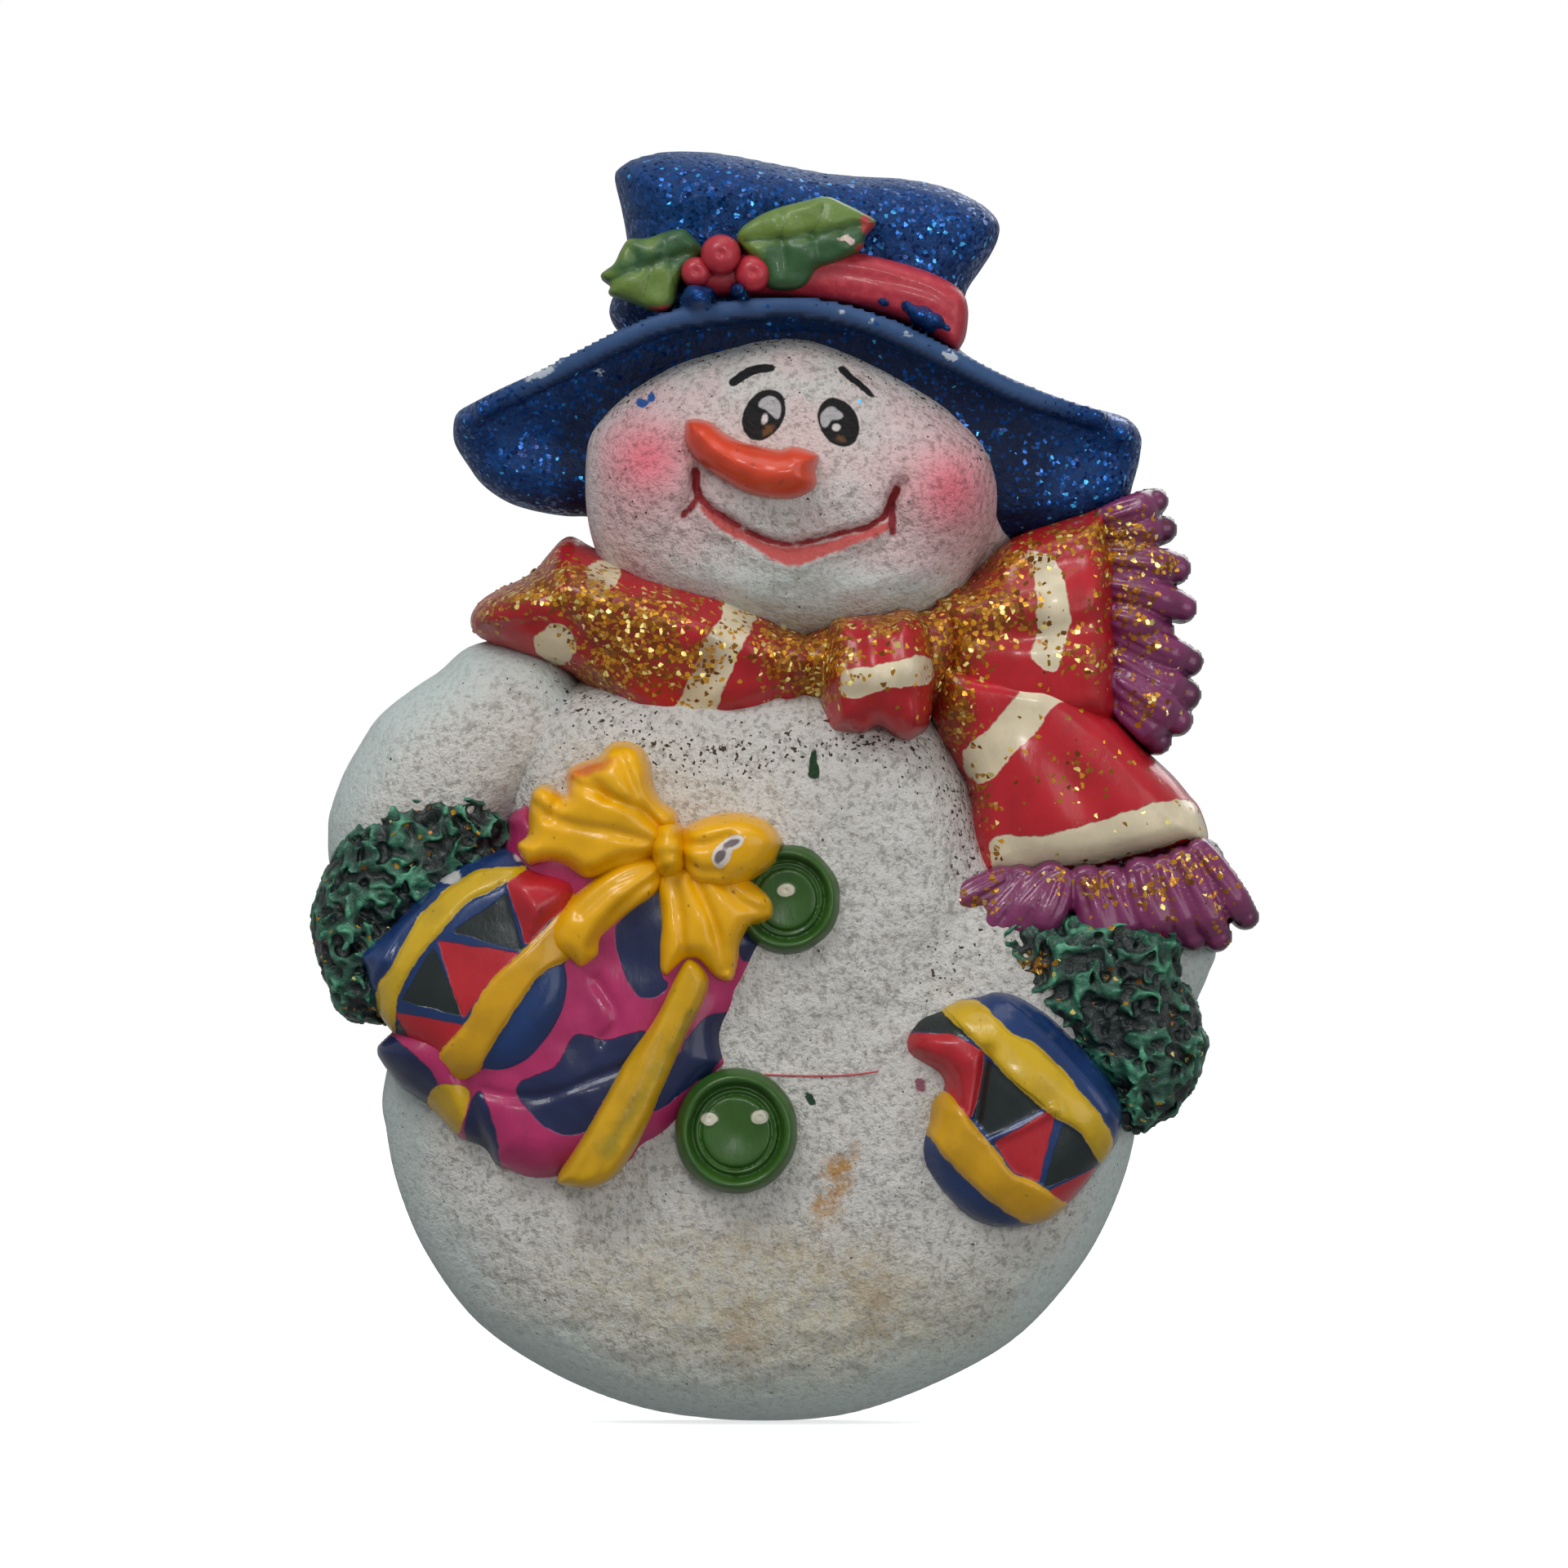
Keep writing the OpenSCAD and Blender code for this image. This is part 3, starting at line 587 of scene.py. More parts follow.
def leafy(name):
    """Two greens, with brown-red at the tip and a chip of bare resin."""
    look = Look(name)
    colour = look.mix(look.noise(1.2, 3, 0.6, 3), ink(90, 118, 45), ink(112, 138, 62))
    colour = look.mix(look.edge("lower", 0.5, 0.4, 0.8, 5), colour, ink(46, 88, 48))
    colour = look.mix(look.edge("vein", 0.08, 0.05, 0.5, 9), colour, ink(50, 86, 42))
    colour = look.mix(look.edge("tip", 0.12, 0.3, 0.5, 2), colour, ink(176, 62, 56))
    colour = look.mix(look.edge("chip", 0.05, 0.3, 0.4, 2), colour, ink(214, 190, 180))
    height = look.maths("MULTIPLY", look.noise(0.5, 3, 0.6, 5), 0.06)
    return look.close(look.paint(colour, 0.42, height, 0.8, coat=0.1))


def plain(name, colour, rough, speck=None, coat=0.0, relief=0.03):
    """One colour, mottled with a second one."""
    look = Look(name)
    if speck is not None:
        colour = look.mix(look.span(look.noise(0.5, 3, 0.6, 3), 0.45, 0.7), colour, speck)
    height = look.maths("MULTIPLY", look.noise(0.3, 3, 0.6, 5), relief)
    return look.close(look.paint(colour, rough, height, 0.8, coat=coat))


def foil(name, low, mid, high):
    """Metal flake whose shade comes from its own number in the attribute tone."""
    look = Look(name)
    tone = look.attribute("tone")
    colour = look.mix(look.span(tone, 0.0, 0.7), low, mid)
    # The highest tones are the palest: painted sparkle on those flakes.
    colour = look.mix(look.span(tone, 0.75, 0.95), colour, high)
    return look.close(look.paint(colour, 0.26, look.noise(1.0, 1, 0.5, 7), 0.02, metal=0.6))


# ---------------------------------------------------------------- outlines and paint areas, in mm (x, z)

BELLY = [(-21.6, -10.15), (-21.5, -12.9), (-20.8, -16.15), (-19.2, -19.8), (-16.4, -23.5), (-12.2, -26.3),
         (-7.6, -28.1), (-3, -28.8), (1.6, -28.8), (5.3, -28.15), (9.9, -26.3), (13.6, -24), (16.85, -20.3),
         (18.8, -16.6), (19.85, -12.9), (20.2, -8), (18.5, -2), (13, 3), (5, 6), (-5, 6), (-14, 3),
         (-19.5, -3)]
CHEST = [(8.2, 10.4), (10.4, 7.4), (11.6, 4), (12, 1.3), (11.4, -1.5), (9.5, -5), (5, -9), (-2, -10),
         (-9, -7), (-14, 0), (-15.5, 6), (-13, 11), (-6, 13), (2, 13)]
ARM_LEFT = [(-24.6, 1.5), (-23.4, -2.5), (-18, -1), (-13.4, 4), (-9.8, 8), (-10.5, 11.5), (-13, 14.2),
            (-16.6, 14), (-18.6, 12.5), (-20.1, 11.5), (-21.9, 10.05), (-22.95, 8.5), (-23.9, 6.8),
            (-24.6, 4.85), (-24.75, 3.7)]
ARM_RIGHT = [(14, -3), (17, -6), (20.6, -8), (22.6, -7.4), (23.3, -5.6), (23.9, -4.2), (24.3, -2.5),
             (23, 1), (17, 1.4)]
HEAD = [(-10.3, 25.2), (-9.5, 26.5), (-8.9, 27.2), (-7.7, 28.4), (-6.3, 29.1), (-5.1, 29.6), (-3.4, 30.1),
        (-2.3, 30.45), (-0.95, 30.75), (0.95, 30.85), (2.15, 30.7), (3.55, 30.25), (5.3, 29.4),
        (6.65, 28.65), (8.4, 27.8), (10.1, 27.2), (11.7, 26.55), (12.9, 25.6), (13.75, 24.4), (13.9, 23.5),
        (13.6, 22.3), (13.3, 20.6), (12.6, 18.8), (9.4, 16), (5, 14), (0, 14), (-5, 15.6), (-9, 17.6),
        (-10, 19.4), (-10.45, 22)]
FACE = [(-10.6, 25.2), (-9, 27.5), (-6.3, 29.4), (-3.4, 30.4), (1, 31.2), (5.3, 29.8), (8.6, 27.9),
        (10.6, 26.2), (11.9, 24.5), (12.35, 22.6), (12.1, 20.6), (11.2, 18.6), (9.4, 15.8), (5, 14),
        (0, 14), (-5, 15.4), (-9, 17.4), (-10.3, 19.4), (-10.8, 22)]
MOUTH = [(-4.35, 23.3), (-4.3, 22.3), (-3.6, 21.35), (-2.3, 20.5), (-0.9, 19.75), (0.6, 19.35), (2.3, 19.6),
         (3.6, 19.95), (5, 20.3), (5.9, 20.9), (6.25, 21.6), (6.6, 22.3)]
CORNER_LEFT = [(-4.2, 22.0), (-4.6, 21.4), (-5.05, 20.95)]
CORNER_RIGHT = [(6.35, 21.6), (6.35, 20.7), (6.4, 20.0)]
LIP = [(-4.1, 21.2), (-3.2, 20.3), (-2.2, 19.5), (-0.95, 18.75), (0.7, 18.3), (1.8, 18.45), (3.0, 18.9),
       (4.4, 19.5), (6.2, 20.1)]
LIP_FILL = [(-4.1, 21.6), (-2.9, 20.8), (-1.2, 19.75), (0.6, 19.2), (2.4, 19.45), (4.4, 19.95), (6.2, 20.6),
            (6.1, 20.05), (4.4, 19.35), (2.9, 18.8), (1.7, 18.3), (0.7, 18.2), (-0.5, 18.7), (-1.4, 19.3),
            (-2.6, 19.9), (-3.7, 20.7)]
NOSE = [(-5, 25.75), (-4.85, 26.1), (-4.4, 26.2), (-3.55, 26.05), (-2.7, 25.4), (-1.65, 24.9), (0.1, 24.55),
        (1.1, 24.7), (2.3, 24.25), (2.35, 23.9), (2.2, 23.3), (2.3, 22.65), (1.8, 22.05), (0.6, 21.7),
        (-1.3, 21.95), (-3, 22.85), (-4.25, 23.85), (-4.95, 24.9)]
BRIM = [(-17.8, 26.15), (-17.6, 26.7), (-17.2, 27.05), (-15.2, 28.1), (-12.6, 29.25), (-10.05, 30.5),
        (-8.75, 31.15), (-7.2, 31.8), (-4.9, 32.55), (-2.35, 33), (0, 33.1), (2.5, 32.95), (5.1, 32.55),
        (7.65, 31.8), (9.45, 30.9), (10.35, 30.1), (11.75, 29.25), (14.3, 28.1), (16.85, 27.2),
        (19.2, 26.55), (20.1, 25.65), (20.15, 24.6), (19.8, 23.1), (19, 21.2), (16.4, 20.3), (13, 19.6),
        (9, 20), (0, 20), (-7.5, 20), (-10, 21), (-11.6, 21.1), (-13.4, 21.4), (-14.9, 21.9),
        (-16.2, 22.8), (-17, 23.85), (-17.75, 25.1)]
RIM = [(-17.2, 26.3), (-14.8, 27.5), (-12.4, 28.7), (-11.2, 29.3), (-8.8, 30.45), (-6.4, 31.45), (-4, 31.95),
       (-1.6, 32.25), (0.8, 32.4), (3.2, 32.1), (5.6, 31.4), (7.2, 30.7), (9.6, 29.55), (12.8, 27.95),
       (16, 26.8), (19.2, 25.8)]
CROWN = [(-8.9, 39.7), (-8.6, 40.3), (-7.75, 40.8), (-6.2, 41.15), (-4.7, 41.2), (-2.6, 41), (0, 40.5),
         (3, 39.95), (5.1, 39.8), (7.6, 39.6), (9.7, 39.1), (11.5, 38.2), (12.3, 37.3), (12.3, 36.5),
         (11.9, 35.6), (11.35, 34.75), (10.5, 33.4), (10.2, 31.5), (8.6, 29.5), (0, 30), (-7, 30),
         (-8.6, 31.2), (-9.15, 32.05), (-9.15, 32.8), (-8.5, 34.3), (-8.2, 35.9), (-8.5, 37.9)]
BAND = [(-4.6, 33.1), (0, 32.9), (4, 32.4), (7.6, 31.3), (9.6, 30), (10.2, 30.4), (10.5, 31.3), (10.5, 32.5),
        (10, 33.4), (8.65, 34.25), (6.6, 34.9), (4.8, 35.3), (2, 35.6), (-1, 35.4), (-3.8, 34.9)]
LEAF_LEFT = [(-9.6, 34.05), (-8.85, 34.7), (-8.45, 35.5), (-8, 36.05), (-7, 36.1), (-5.9, 36.5),
             (-5.05, 36.6), (-4.45, 36.1), (-3.95, 35.3), (-4.65, 34.6), (-5.1, 34), (-5.35, 33.4),
             (-5.5, 32.6), (-6, 32.1), (-6.6, 32.1), (-7.75, 32.55), (-9.1, 33.05), (-9.05, 33.5)]
LEAF_RIGHT = [(-2.1, 35.9), (-1.95, 36.55), (-1.1, 37.2), (0, 37.7), (1.5, 38.1), (2.75, 38.35), (3.8, 37.95),
              (4.7, 37.5), (5.5, 36.95), (4.95, 36.3), (4.7, 35.5), (3.9, 35), (3.2, 34.7), (2.25, 34.35),
              (1.9, 33.8), (1.5, 33.4), (0.6, 33.2), (-0.45, 33.4), (-0.75, 34.3), (-1.35, 35)]
WRAP = [(-16.85, 15), (-16.6, 15.9), (-15.9, 16.6), (-14.4, 17.35), (-13.5, 17.9), (-12.6, 18.95),
        (-11.9, 19.6), (-11.2, 19.75), (-9.95, 19.15), (-8.5, 18.6), (-6.35, 18), (-4, 17.35),
        (-1.85, 16.6), (-0.1, 15.9), (1.5, 15.2), (2.3, 15.5), (3.15, 15.85), (4.2, 15.6), (5.2, 15.5),
        (6.2, 16.1), (7.1, 16.35), (8.55, 16.6), (10, 17.5), (11, 16), (11, 13), (9.4, 10.5), (6, 10),
        (2.6, 9.9), (0.65, 9.3), (-1.15, 8.6), (-2.95, 8.15), (-4.75, 8.45), (-6.5, 9.1), (-8.3, 10),
        (-9.95, 11.05), (-11.2, 12.15), (-12.6, 12.85), (-14.8, 13.6), (-16.3, 14.3)]
WRAP_FOLD = [(-13.8, 16.4), (-11.6, 16.9), (-9, 16.2), (-6, 15.2), (-3, 14.3), (-0.4, 13.6), (1.8, 13.2)]
WRAP_CREASE = [(-16, 14.9), (-13.4, 15.2), (-10.8, 14.2), (-8.2, 12.6), (-5.4, 11), (-2.6, 10.3), (0, 10.9),
               (2.2, 11.8)]
WRAP_STRIPES = ([(-10.3, 18.2), (-9.2, 18.5), (-8.5, 17.9), (-9, 16.8), (-9.6, 16.2), (-10.2, 16.6)],
                [(-13.2, 14.3), (-12.6, 14.8), (-12, 15.1), (-11.2, 14.6), (-10.9, 13.8), (-11.4, 12.9),
                 (-12.3, 12.9), (-13.1, 13.6)],
                [(-2.8, 16.2), (-1.9, 16.3), (-1.05, 15.8), (-1.3, 14.8), (-2, 13.4), (-3, 11), (-3.5, 9.6),
                 (-4.3, 9), (-5, 9.1), (-5.7, 10), (-5.2, 11), (-4.4, 12.8), (-3.7, 14.4), (-3, 15.3)])
KNOT = [(2.3, 11.4), (2.6, 10), (3, 9.15), (4.2, 9), (4.9, 9), (5.5, 9.35), (6.1, 9.1), (6.55, 8.8),
        (7.3, 8.6), (7.9, 9), (8.35, 9.6), (8.7, 11.4), (8.75, 13.4), (8.4, 15), (7.2, 15.9), (5.8, 15.6),
        (4.6, 15.5), (3.2, 15.3), (2.5, 13.6)]
KNOT_STRIPE = [(3.5, 11.5), (3.7, 11.1), (4.3, 10.95), (5.2, 11.2), (6.9, 11.6), (8.2, 11.7), (8.6, 12.3),
               (8.5, 13.1), (7.8, 13.3), (6.8, 13), (5.8, 12.8), (5, 12.6), (3.7, 12.5)]
TAIL_UPPER = [(8.3, 16.3), (9.4, 17.1), (10.7, 17.9), (12, 19.2), (13.5, 20.2), (14.8, 20.7), (16.65, 21.25),
              (18.2, 21.7), (18.9, 20), (19.1, 17.5), (19.2, 14.75), (19.1, 12), (18.9, 10), (17, 9),
              (12, 9), (9, 11)]
UPPER_STRIPE = [(13.7, 19), (14.7, 18.9), (15.3, 18.6), (15.8, 17.3), (16.1, 15.5), (15.95, 14.5),
                (15.6, 13.2), (15.2, 12.4), (13.9, 13.2), (14.2, 14.2), (14.3, 15.5), (14.2, 16.9), (14, 18)]
TAIL_LOWER = [(8.4, 13.2), (10, 13.3), (12, 12.9), (13.6, 12.5), (14.9, 12.5), (16.3, 11.9), (17.6, 10.9),
              (18.9, 9.8), (20.4, 8.2), (21.85, 6.75), (22.7, 5.7), (23.4, 4.85), (23.9, 3.3), (23.3, 2.7),
              (20, 1.9), (17.4, 1.3), (14.8, 1.1), (12, 0.8), (11, 1.2), (10.6, 3), (10.4, 5.8),
              (9.6, 7.5), (8.9, 8.7), (8.3, 10.5)]
LOWER_STRIPES = ([(10.35, 8.2), (11.65, 9.35), (13.1, 11), (13.85, 12.05), (15.15, 12.45), (16.4, 11.75),
                  (16.1, 11), (15, 10.3), (14.25, 9.15), (12.6, 7.5), (11.4, 6.3), (10.4, 7)],
                 [(11.9, 3.35), (14.4, 3.4), (16.3, 3.85), (18.5, 4.5), (20.75, 5.25), (22.6, 5.4),
                  (23.3, 4.7), (23.8, 3.4), (22.4, 3.2), (20, 2.45), (17.4, 1.95), (14.8, 1.7),
                  (13.3, 1.35), (12, 1.3)])
UPPER_STRANDS = [((18, 20.8), (20.9, 21.85), 1.05), ((18.2, 19.9), (21.3, 20.3), 1.15),
                 ((18.2, 18.6), (22, 18.15), 1.25), ((18.4, 17.2), (22.4, 15.95), 1.15),
                 ((18.4, 15.6), (21.2, 14.7), 1.1), ((18.6, 14.8), (22.7, 13), 1.2),
                 ((18.8, 13.1), (22.5, 11.2), 1.3), ((18.9, 11.9), (22.1, 9.8), 1.25),
                 ((19, 10.6), (21, 8.7), 1.2)]
UPPER_ROOTS = [(17.4, 21), (19.4, 21.7), (20.6, 21), (20.8, 19), (21.2, 17.4), (21.3, 15.4), (21.4, 13),
               (21.2, 10.6), (20.4, 9.2), (19, 9.9), (17.8, 12), (17.4, 16)]
LOWER_STRANDS = [((12.4, 1.1), (9, -1.15), 1.1), ((13.4, 0.9), (10.9, -2.7), 1.5),
                 ((15, 1.1), (12.4, -2.2), 1.5), ((15.6, 0.9), (14, -2), 1.2), ((17, 0.9), (18, -2.5), 1.45),
                 ((18.4, 1), (19.7, -2.4), 1.3), ((20, 1.3), (21.4, -2.1), 1.5),
                 ((21.2, 1.6), (22.9, -2.1), 1.2), ((22.2, 2), (24.2, -2.1), 1.2),
                 ((23.2, 2.6), (25.8, -1), 1.1)]
LOWER_ROOTS = [(11.4, 0.9), (14, 1.7), (17.4, 2), (20.5, 2.6), (23.8, 3.3), (24.9, 1.4), (24.6, -0.6),
               (21.5, -1), (17.5, -1.4), (15.8, -2.2), (14, -1.2), (12, -0.6)]
CUFF_LEFT = [(-25.5, -1.5), (-25.3, 0.05), (-24.6, 1.75), (-23.9, 3.1), (-22.75, 4.45), (-21.6, 5.3),
             (-20.45, 6.1), (-18.75, 6.4), (-17, 6.4), (-15.65, 6), (-15, 5.05), (-14.5, 3.5), (-13.6, 2.4),
             (-14.5, 0), (-18, -3), (-20.8, -6.4), (-21.9, -6.95), (-23.75, -6.5), (-24.5, -5.15),
             (-25.15, -3.4)]
CUFF_RIGHT = [(11.5, -1), (11.6, -4), (12.4, -5.6), (14.85, -7.4), (17.4, -9.9), (18.6, -11.8),
              (19.4, -12.9), (20.25, -13), (20.9, -12.35), (21.9, -11.95), (22.45, -11.1), (23.2, -10.1),
              (23.4, -9.1), (23.75, -8), (23.45, -7.15), (23.25, -6), (22.75, -5.05), (22.25, -3.6),
              (22.3, -1.4), (17, -0.6)]
MITTEN_LEFT = [(-22.2, -5), (-22.5, -3.8), (-22.7, -3), (-21.2, -1.6), (-19.7, 0), (-18, 1.5), (-16, 2.4),
               (-14.4, 2.8), (-13, 2.4), (-11.6, 1.9), (-10.4, 1.3), (-9.8, 0), (-9.8, -2), (-9.9, -3.6),
               (-10.15, -5.35), (-10.6, -6.8), (-11.6, -8.4), (-13, -9.6), (-14.8, -10.3), (-16.6, -10.35),
               (-17.8, -10.3), (-18.9, -9.5), (-20.1, -8.4), (-21.2, -7.2), (-21.9, -6.2)]
TIP_LEFT = [(-10.2, -5.2), (-10.5, -4.2), (-11.3, -3.5), (-12.4, -3.7), (-13.6, -5.2), (-15, -7.4),
            (-16.2, -9.4), (-16.5, -10.1), (-15.4, -10.35), (-13.8, -10.1), (-12.2, -9.1), (-11, -7.6),
            (-10.4, -6.4)]
THUMB_LEFT = [(-14.5, 1), (-13.5, 1.6), (-12.2, 1.85), (-11.05, 1.65), (-10.4, 1), (-10.85, 0.05),
              (-12.2, -1.1), (-13.5, -2.45), (-13.8, -1.6), (-14.5, 0.4)]
BAND_LEFT_1 = [(-13.5, 1.8), (-15, 1.75), (-16.5, 1.5), (-18, 0.5), (-19.6, -1.2), (-21, -3.8), (-21.7, -4.7),
               (-21.75, -5.9), (-21.2, -7.3), (-20.8, -7.4), (-20.7, -6.2), (-20.5, -5.2), (-19.4, -3.2),
               (-18.2, -1.8), (-16.8, -0.2), (-15.4, 0.5), (-14.2, 1.2)]
BAND_LEFT_2 = [(-10.25, 1.5), (-11.4, -0.35), (-13.75, -2.75), (-15.65, -4.6), (-17, -6.9), (-18.9, -9.05),
               (-18.6, -9.9), (-17.75, -10.5), (-16.6, -10.2), (-15.45, -8.05), (-14.1, -5.9),
               (-12.75, -4.1), (-11.4, -3.4), (-10, -3.6), (-9.3, -2)]
TRIANGLES_LEFT = {
    "dark": ([(-17.6, -1.75), (-14.6, 0.35), (-13.7, -2.85)], [(-20.4, -5.5), (-18.6, -2.5), (-16.9, -6.4)],
             [(-20.9, -7), (-20.4, -6.6), (-18.8, -9.2), (-19.2, -9.5)]),
    "red": ([(-18.4, -2.2), (-13.9, -2.9), (-15.65, -4.6), (-17, -6.6)],
            [(-20.8, -6.1), (-16.9, -6.8), (-19, -9.3)]),
}
MITTEN_RIGHT = [(7.05, -7), (7.8, -6.3), (8.9, -5.9), (9.9, -5.35), (11.15, -5.15), (12, -4.95),
                (13.4, -5.3), (14.85, -6.3), (16.25, -7.7), (17.4, -8.85), (18.25, -9.95), (18.95, -11.4),
                (18.8, -12.65), (18.3, -13.8), (17.7, -14.7), (17, -15.75), (16, -16.75), (14.85, -17.6),
                (13.4, -17.95), (12, -17.95), (10.6, -17.45), (9.2, -16.3), (8.1, -14.9), (7.7, -13.8),
                (7.8, -12.8), (8.15, -12.1), (8.35, -10.95), (9, -10.25), (8.75, -9.65), (7.95, -9.2),
                (7.1, -8.6), (6.85, -7.85)]
THUMB_RIGHT = [(6.9, -7.35), (8.2, -7.3), (9.6, -7.35), (10.8, -8), (11.3, -8.4), (11.2, -9.7), (10.9, -11.1),
               (10.55, -11.9), (9.9, -11.3), (9.2, -10.3), (8.7, -9.5), (7.2, -8.6), (6.8, -7.9)]
BAND_RIGHT_1 = [(9.05, -6.1), (9.7, -5.6), (11.1, -5.6), (12.75, -7.2), (14.15, -7.9), (15.55, -9.2),
                (16.7, -10.6), (17.65, -11.7), (18.3, -12.8), (18.4, -13.6), (17.8, -14.5), (16.5, -12.65),
                (15.1, -11.8), (13.4, -10.4), (12, -9), (10.6, -7.55)]
BAND_RIGHT_2 = [(9.15, -10.4), (10, -11.25), (11, -12.5), (12, -13.65), (12.85, -14.8), (14.25, -15.45),
                (15.4, -16.3), (16.1, -16.85), (14.9, -17.6), (13.7, -17.7), (12.3, -16.9), (10.9, -15.75),
                (9.6, -14.5), (8.65, -13.35), (8.05, -12.35), (8.4, -11)]
TRIANGLES_RIGHT = {
    "dark": ([(6.9, -7.2), (7.6, -6.2), (9.05, -5.7), (10.7, -7.65), (9, -7.3)],
             [(11.3, -8.6), (14.7, -11.25), (11.7, -12.85), (10.8, -11.9)],
             [(15.6, -12.1), (16.6, -12.8), (17.7, -14.5), (14.5, -15.8)]),
    "red": ([(15.3, -11.2), (11.9, -13.2), (12.9, -14.8), (14.3, -15.4)],
            [(17.8, -14.5), (14.8, -15.9), (15.9, -16.9)]),
}
GIFT = [(-21.9, -8.5), (-21.35, -7.45), (-19, -5), (-16, 0), (-14.6, 3.2), (-14.5, 4.4), (-13.6, 5.2),
        (-12.6, 4.6), (-6, 3.4), (-1.6, 0.4), (0.15, -1.9), (0.15, -2.7), (-0.45, -3.8), (-2, -6.5),
        (-2.55, -7.65), (-2.15, -8.8), (-1.9, -9.4), (-2.95, -9.9), (-5, -12.4), (-6.8, -13.9),
        (-7.6, -14.75), (-9.5, -15.35), (-11.8, -15.5), (-13.55, -15.4), (-14.5, -15.05), (-15.65, -14.8),
        (-16.4, -13.7), (-17.6, -12.9), (-19, -11.35), (-20.65, -10.15)]
GIFT_NAVY = ([(-22, -8.5), (-21.4, -7.3), (-19.5, -8.6), (-18.35, -10.15), (-19, -11.4), (-20.7, -10.3)],
             [(-8.75, -1.7), (-7.55, -0.4), (-6.2, 0.5), (-6.2, -2.45), (-6.2, -4), (-5.85, -4.6),
              (-6.1, -5.05), (-6.8, -5.35), (-7.6, -5.15), (-8.3, -3.8)],
             [(-10.85, -7.35), (-9.3, -7.65), (-7, -7.2), (-8.2, -9.4), (-9.6, -11.3), (-10.4, -12.7),
              (-12.2, -12.65), (-13.25, -11.7), (-14.1, -10.2), (-12, -9)],
             [(-16.9, -12.2), (-16.35, -10.5), (-15.75, -10.9), (-15.2, -13), (-15.05, -14.9), (-15.9, -14.9),
              (-16.9, -13.2)],
             [(-3.9, -6.5), (-1.8, -6.2), (-2.5, -7.65), (-3.3, -9.2), (-4.3, -9.95), (-5.85, -11.1),
              (-6.8, -11.4), (-5.4, -8.6)],
             [(-1.7, -1.7), (0.2, -1.2), (0.3, -2.5), (-1, -3.3), (-1.9, -3.3)])
GIFT_SIDE_RIBBON = [(-18.35, -10.1), (-19.05, -11.35), (-17.6, -12.95), (-17.05, -12.1), (-16.7, -10.4)]
RIBBON = [(-5.1, -3.3), (-6.4, -5.9), (-7.95, -8.25), (-9.1, -10.15), (-10.45, -12.65), (-11.95, -15.2),
          (-11.2, -15.65), (-10, -15.7), (-8.7, -15.1), (-7.55, -13.4), (-6.8, -12.1), (-6, -10.15),
          (-4.85, -7.65), (-3.85, -5.5), (-3.55, -4.3), (-4.2, -3.3)]
LOOP_LEFT = [(-13.5, 1.9), (-14.1, 2.9), (-13.5, 3.6), (-13.45, 4.9), (-13.35, 5.8), (-12.8, 6.25),
             (-12.2, 6.1), (-11.4, 5.7), (-11.35, 6.95), (-10.6, 7.35), (-9.7, 7.65), (-8.95, 8.4),
             (-8, 8.5), (-7.2, 8.1), (-6.75, 7.2), (-6.55, 6), (-6.2, 5.3), (-5.4, 4.5), (-5.6, 3),
             (-6.8, 2), (-8.6, 1.4), (-10.25, 1.05), (-11.8, 1.85), (-12.8, 1.9)]
LOOP_RIGHT = [(-5.2, 3.6), (-4.7, 4.15), (-3.7, 4.6), (-2.15, 4.8), (-0.6, 4.35), (0.25, 3.4), (0.2, 2.6),
              (-0.2, 1.9), (-1.2, 1.1), (-2.2, 0.6), (-3.4, 0.5), (-4.5, 0.9), (-5.2, 1.8), (-5.5, 2.7)]
BOW_KNOT = [(-7, 2.9), (-6.7, 1.6), (-5.8, 1.1), (-4.9, 1.6), (-4.7, 2.8), (-5, 3.9), (-5.7, 4.4),
            (-6.6, 4.1)]
TAIL_LEFT = [(-5.9, 1.6), (-6.4, 0.3), (-7.55, -0.55), (-8.6, -1.4), (-9.4, -2.2), (-9.55, -3), (-9.9, -3.4),
             (-10.65, -3.85), (-11.3, -3.3), (-12.2, -2.7), (-12.4, -1.6), (-11.4, -0.2), (-10.2, 1),
             (-8.4, 2.2), (-6.8, 2.4)]
TAIL_RIGHT = [(-6.3, 1.6), (-6.45, -0.5), (-6.4, -2.45), (-6.4, -3.85), (-5.95, -4.25), (-5.35, -3.7),
              (-4.8, -3.35), (-4.2, -3.35), (-3.3, -4.25), (-2.45, -4.45), (-2.1, -3.6), (-1.85, -2.4),
              (-1.4, -1.6), (-0.6, -1.3), (-0.1, -0.9), (-0.2, 0.05), (-1.2, 0.9), (-2.4, 1.6),
              (-4.6, 2)]
BUTTONS = {"button_upper": ((0.6, 0), 3.0, ((0.55, 0.5),)),
           "button_lower": ((-2.15, -12.65), 3.45, ((-3.6, -11.95), (-0.85, -11.85)))}

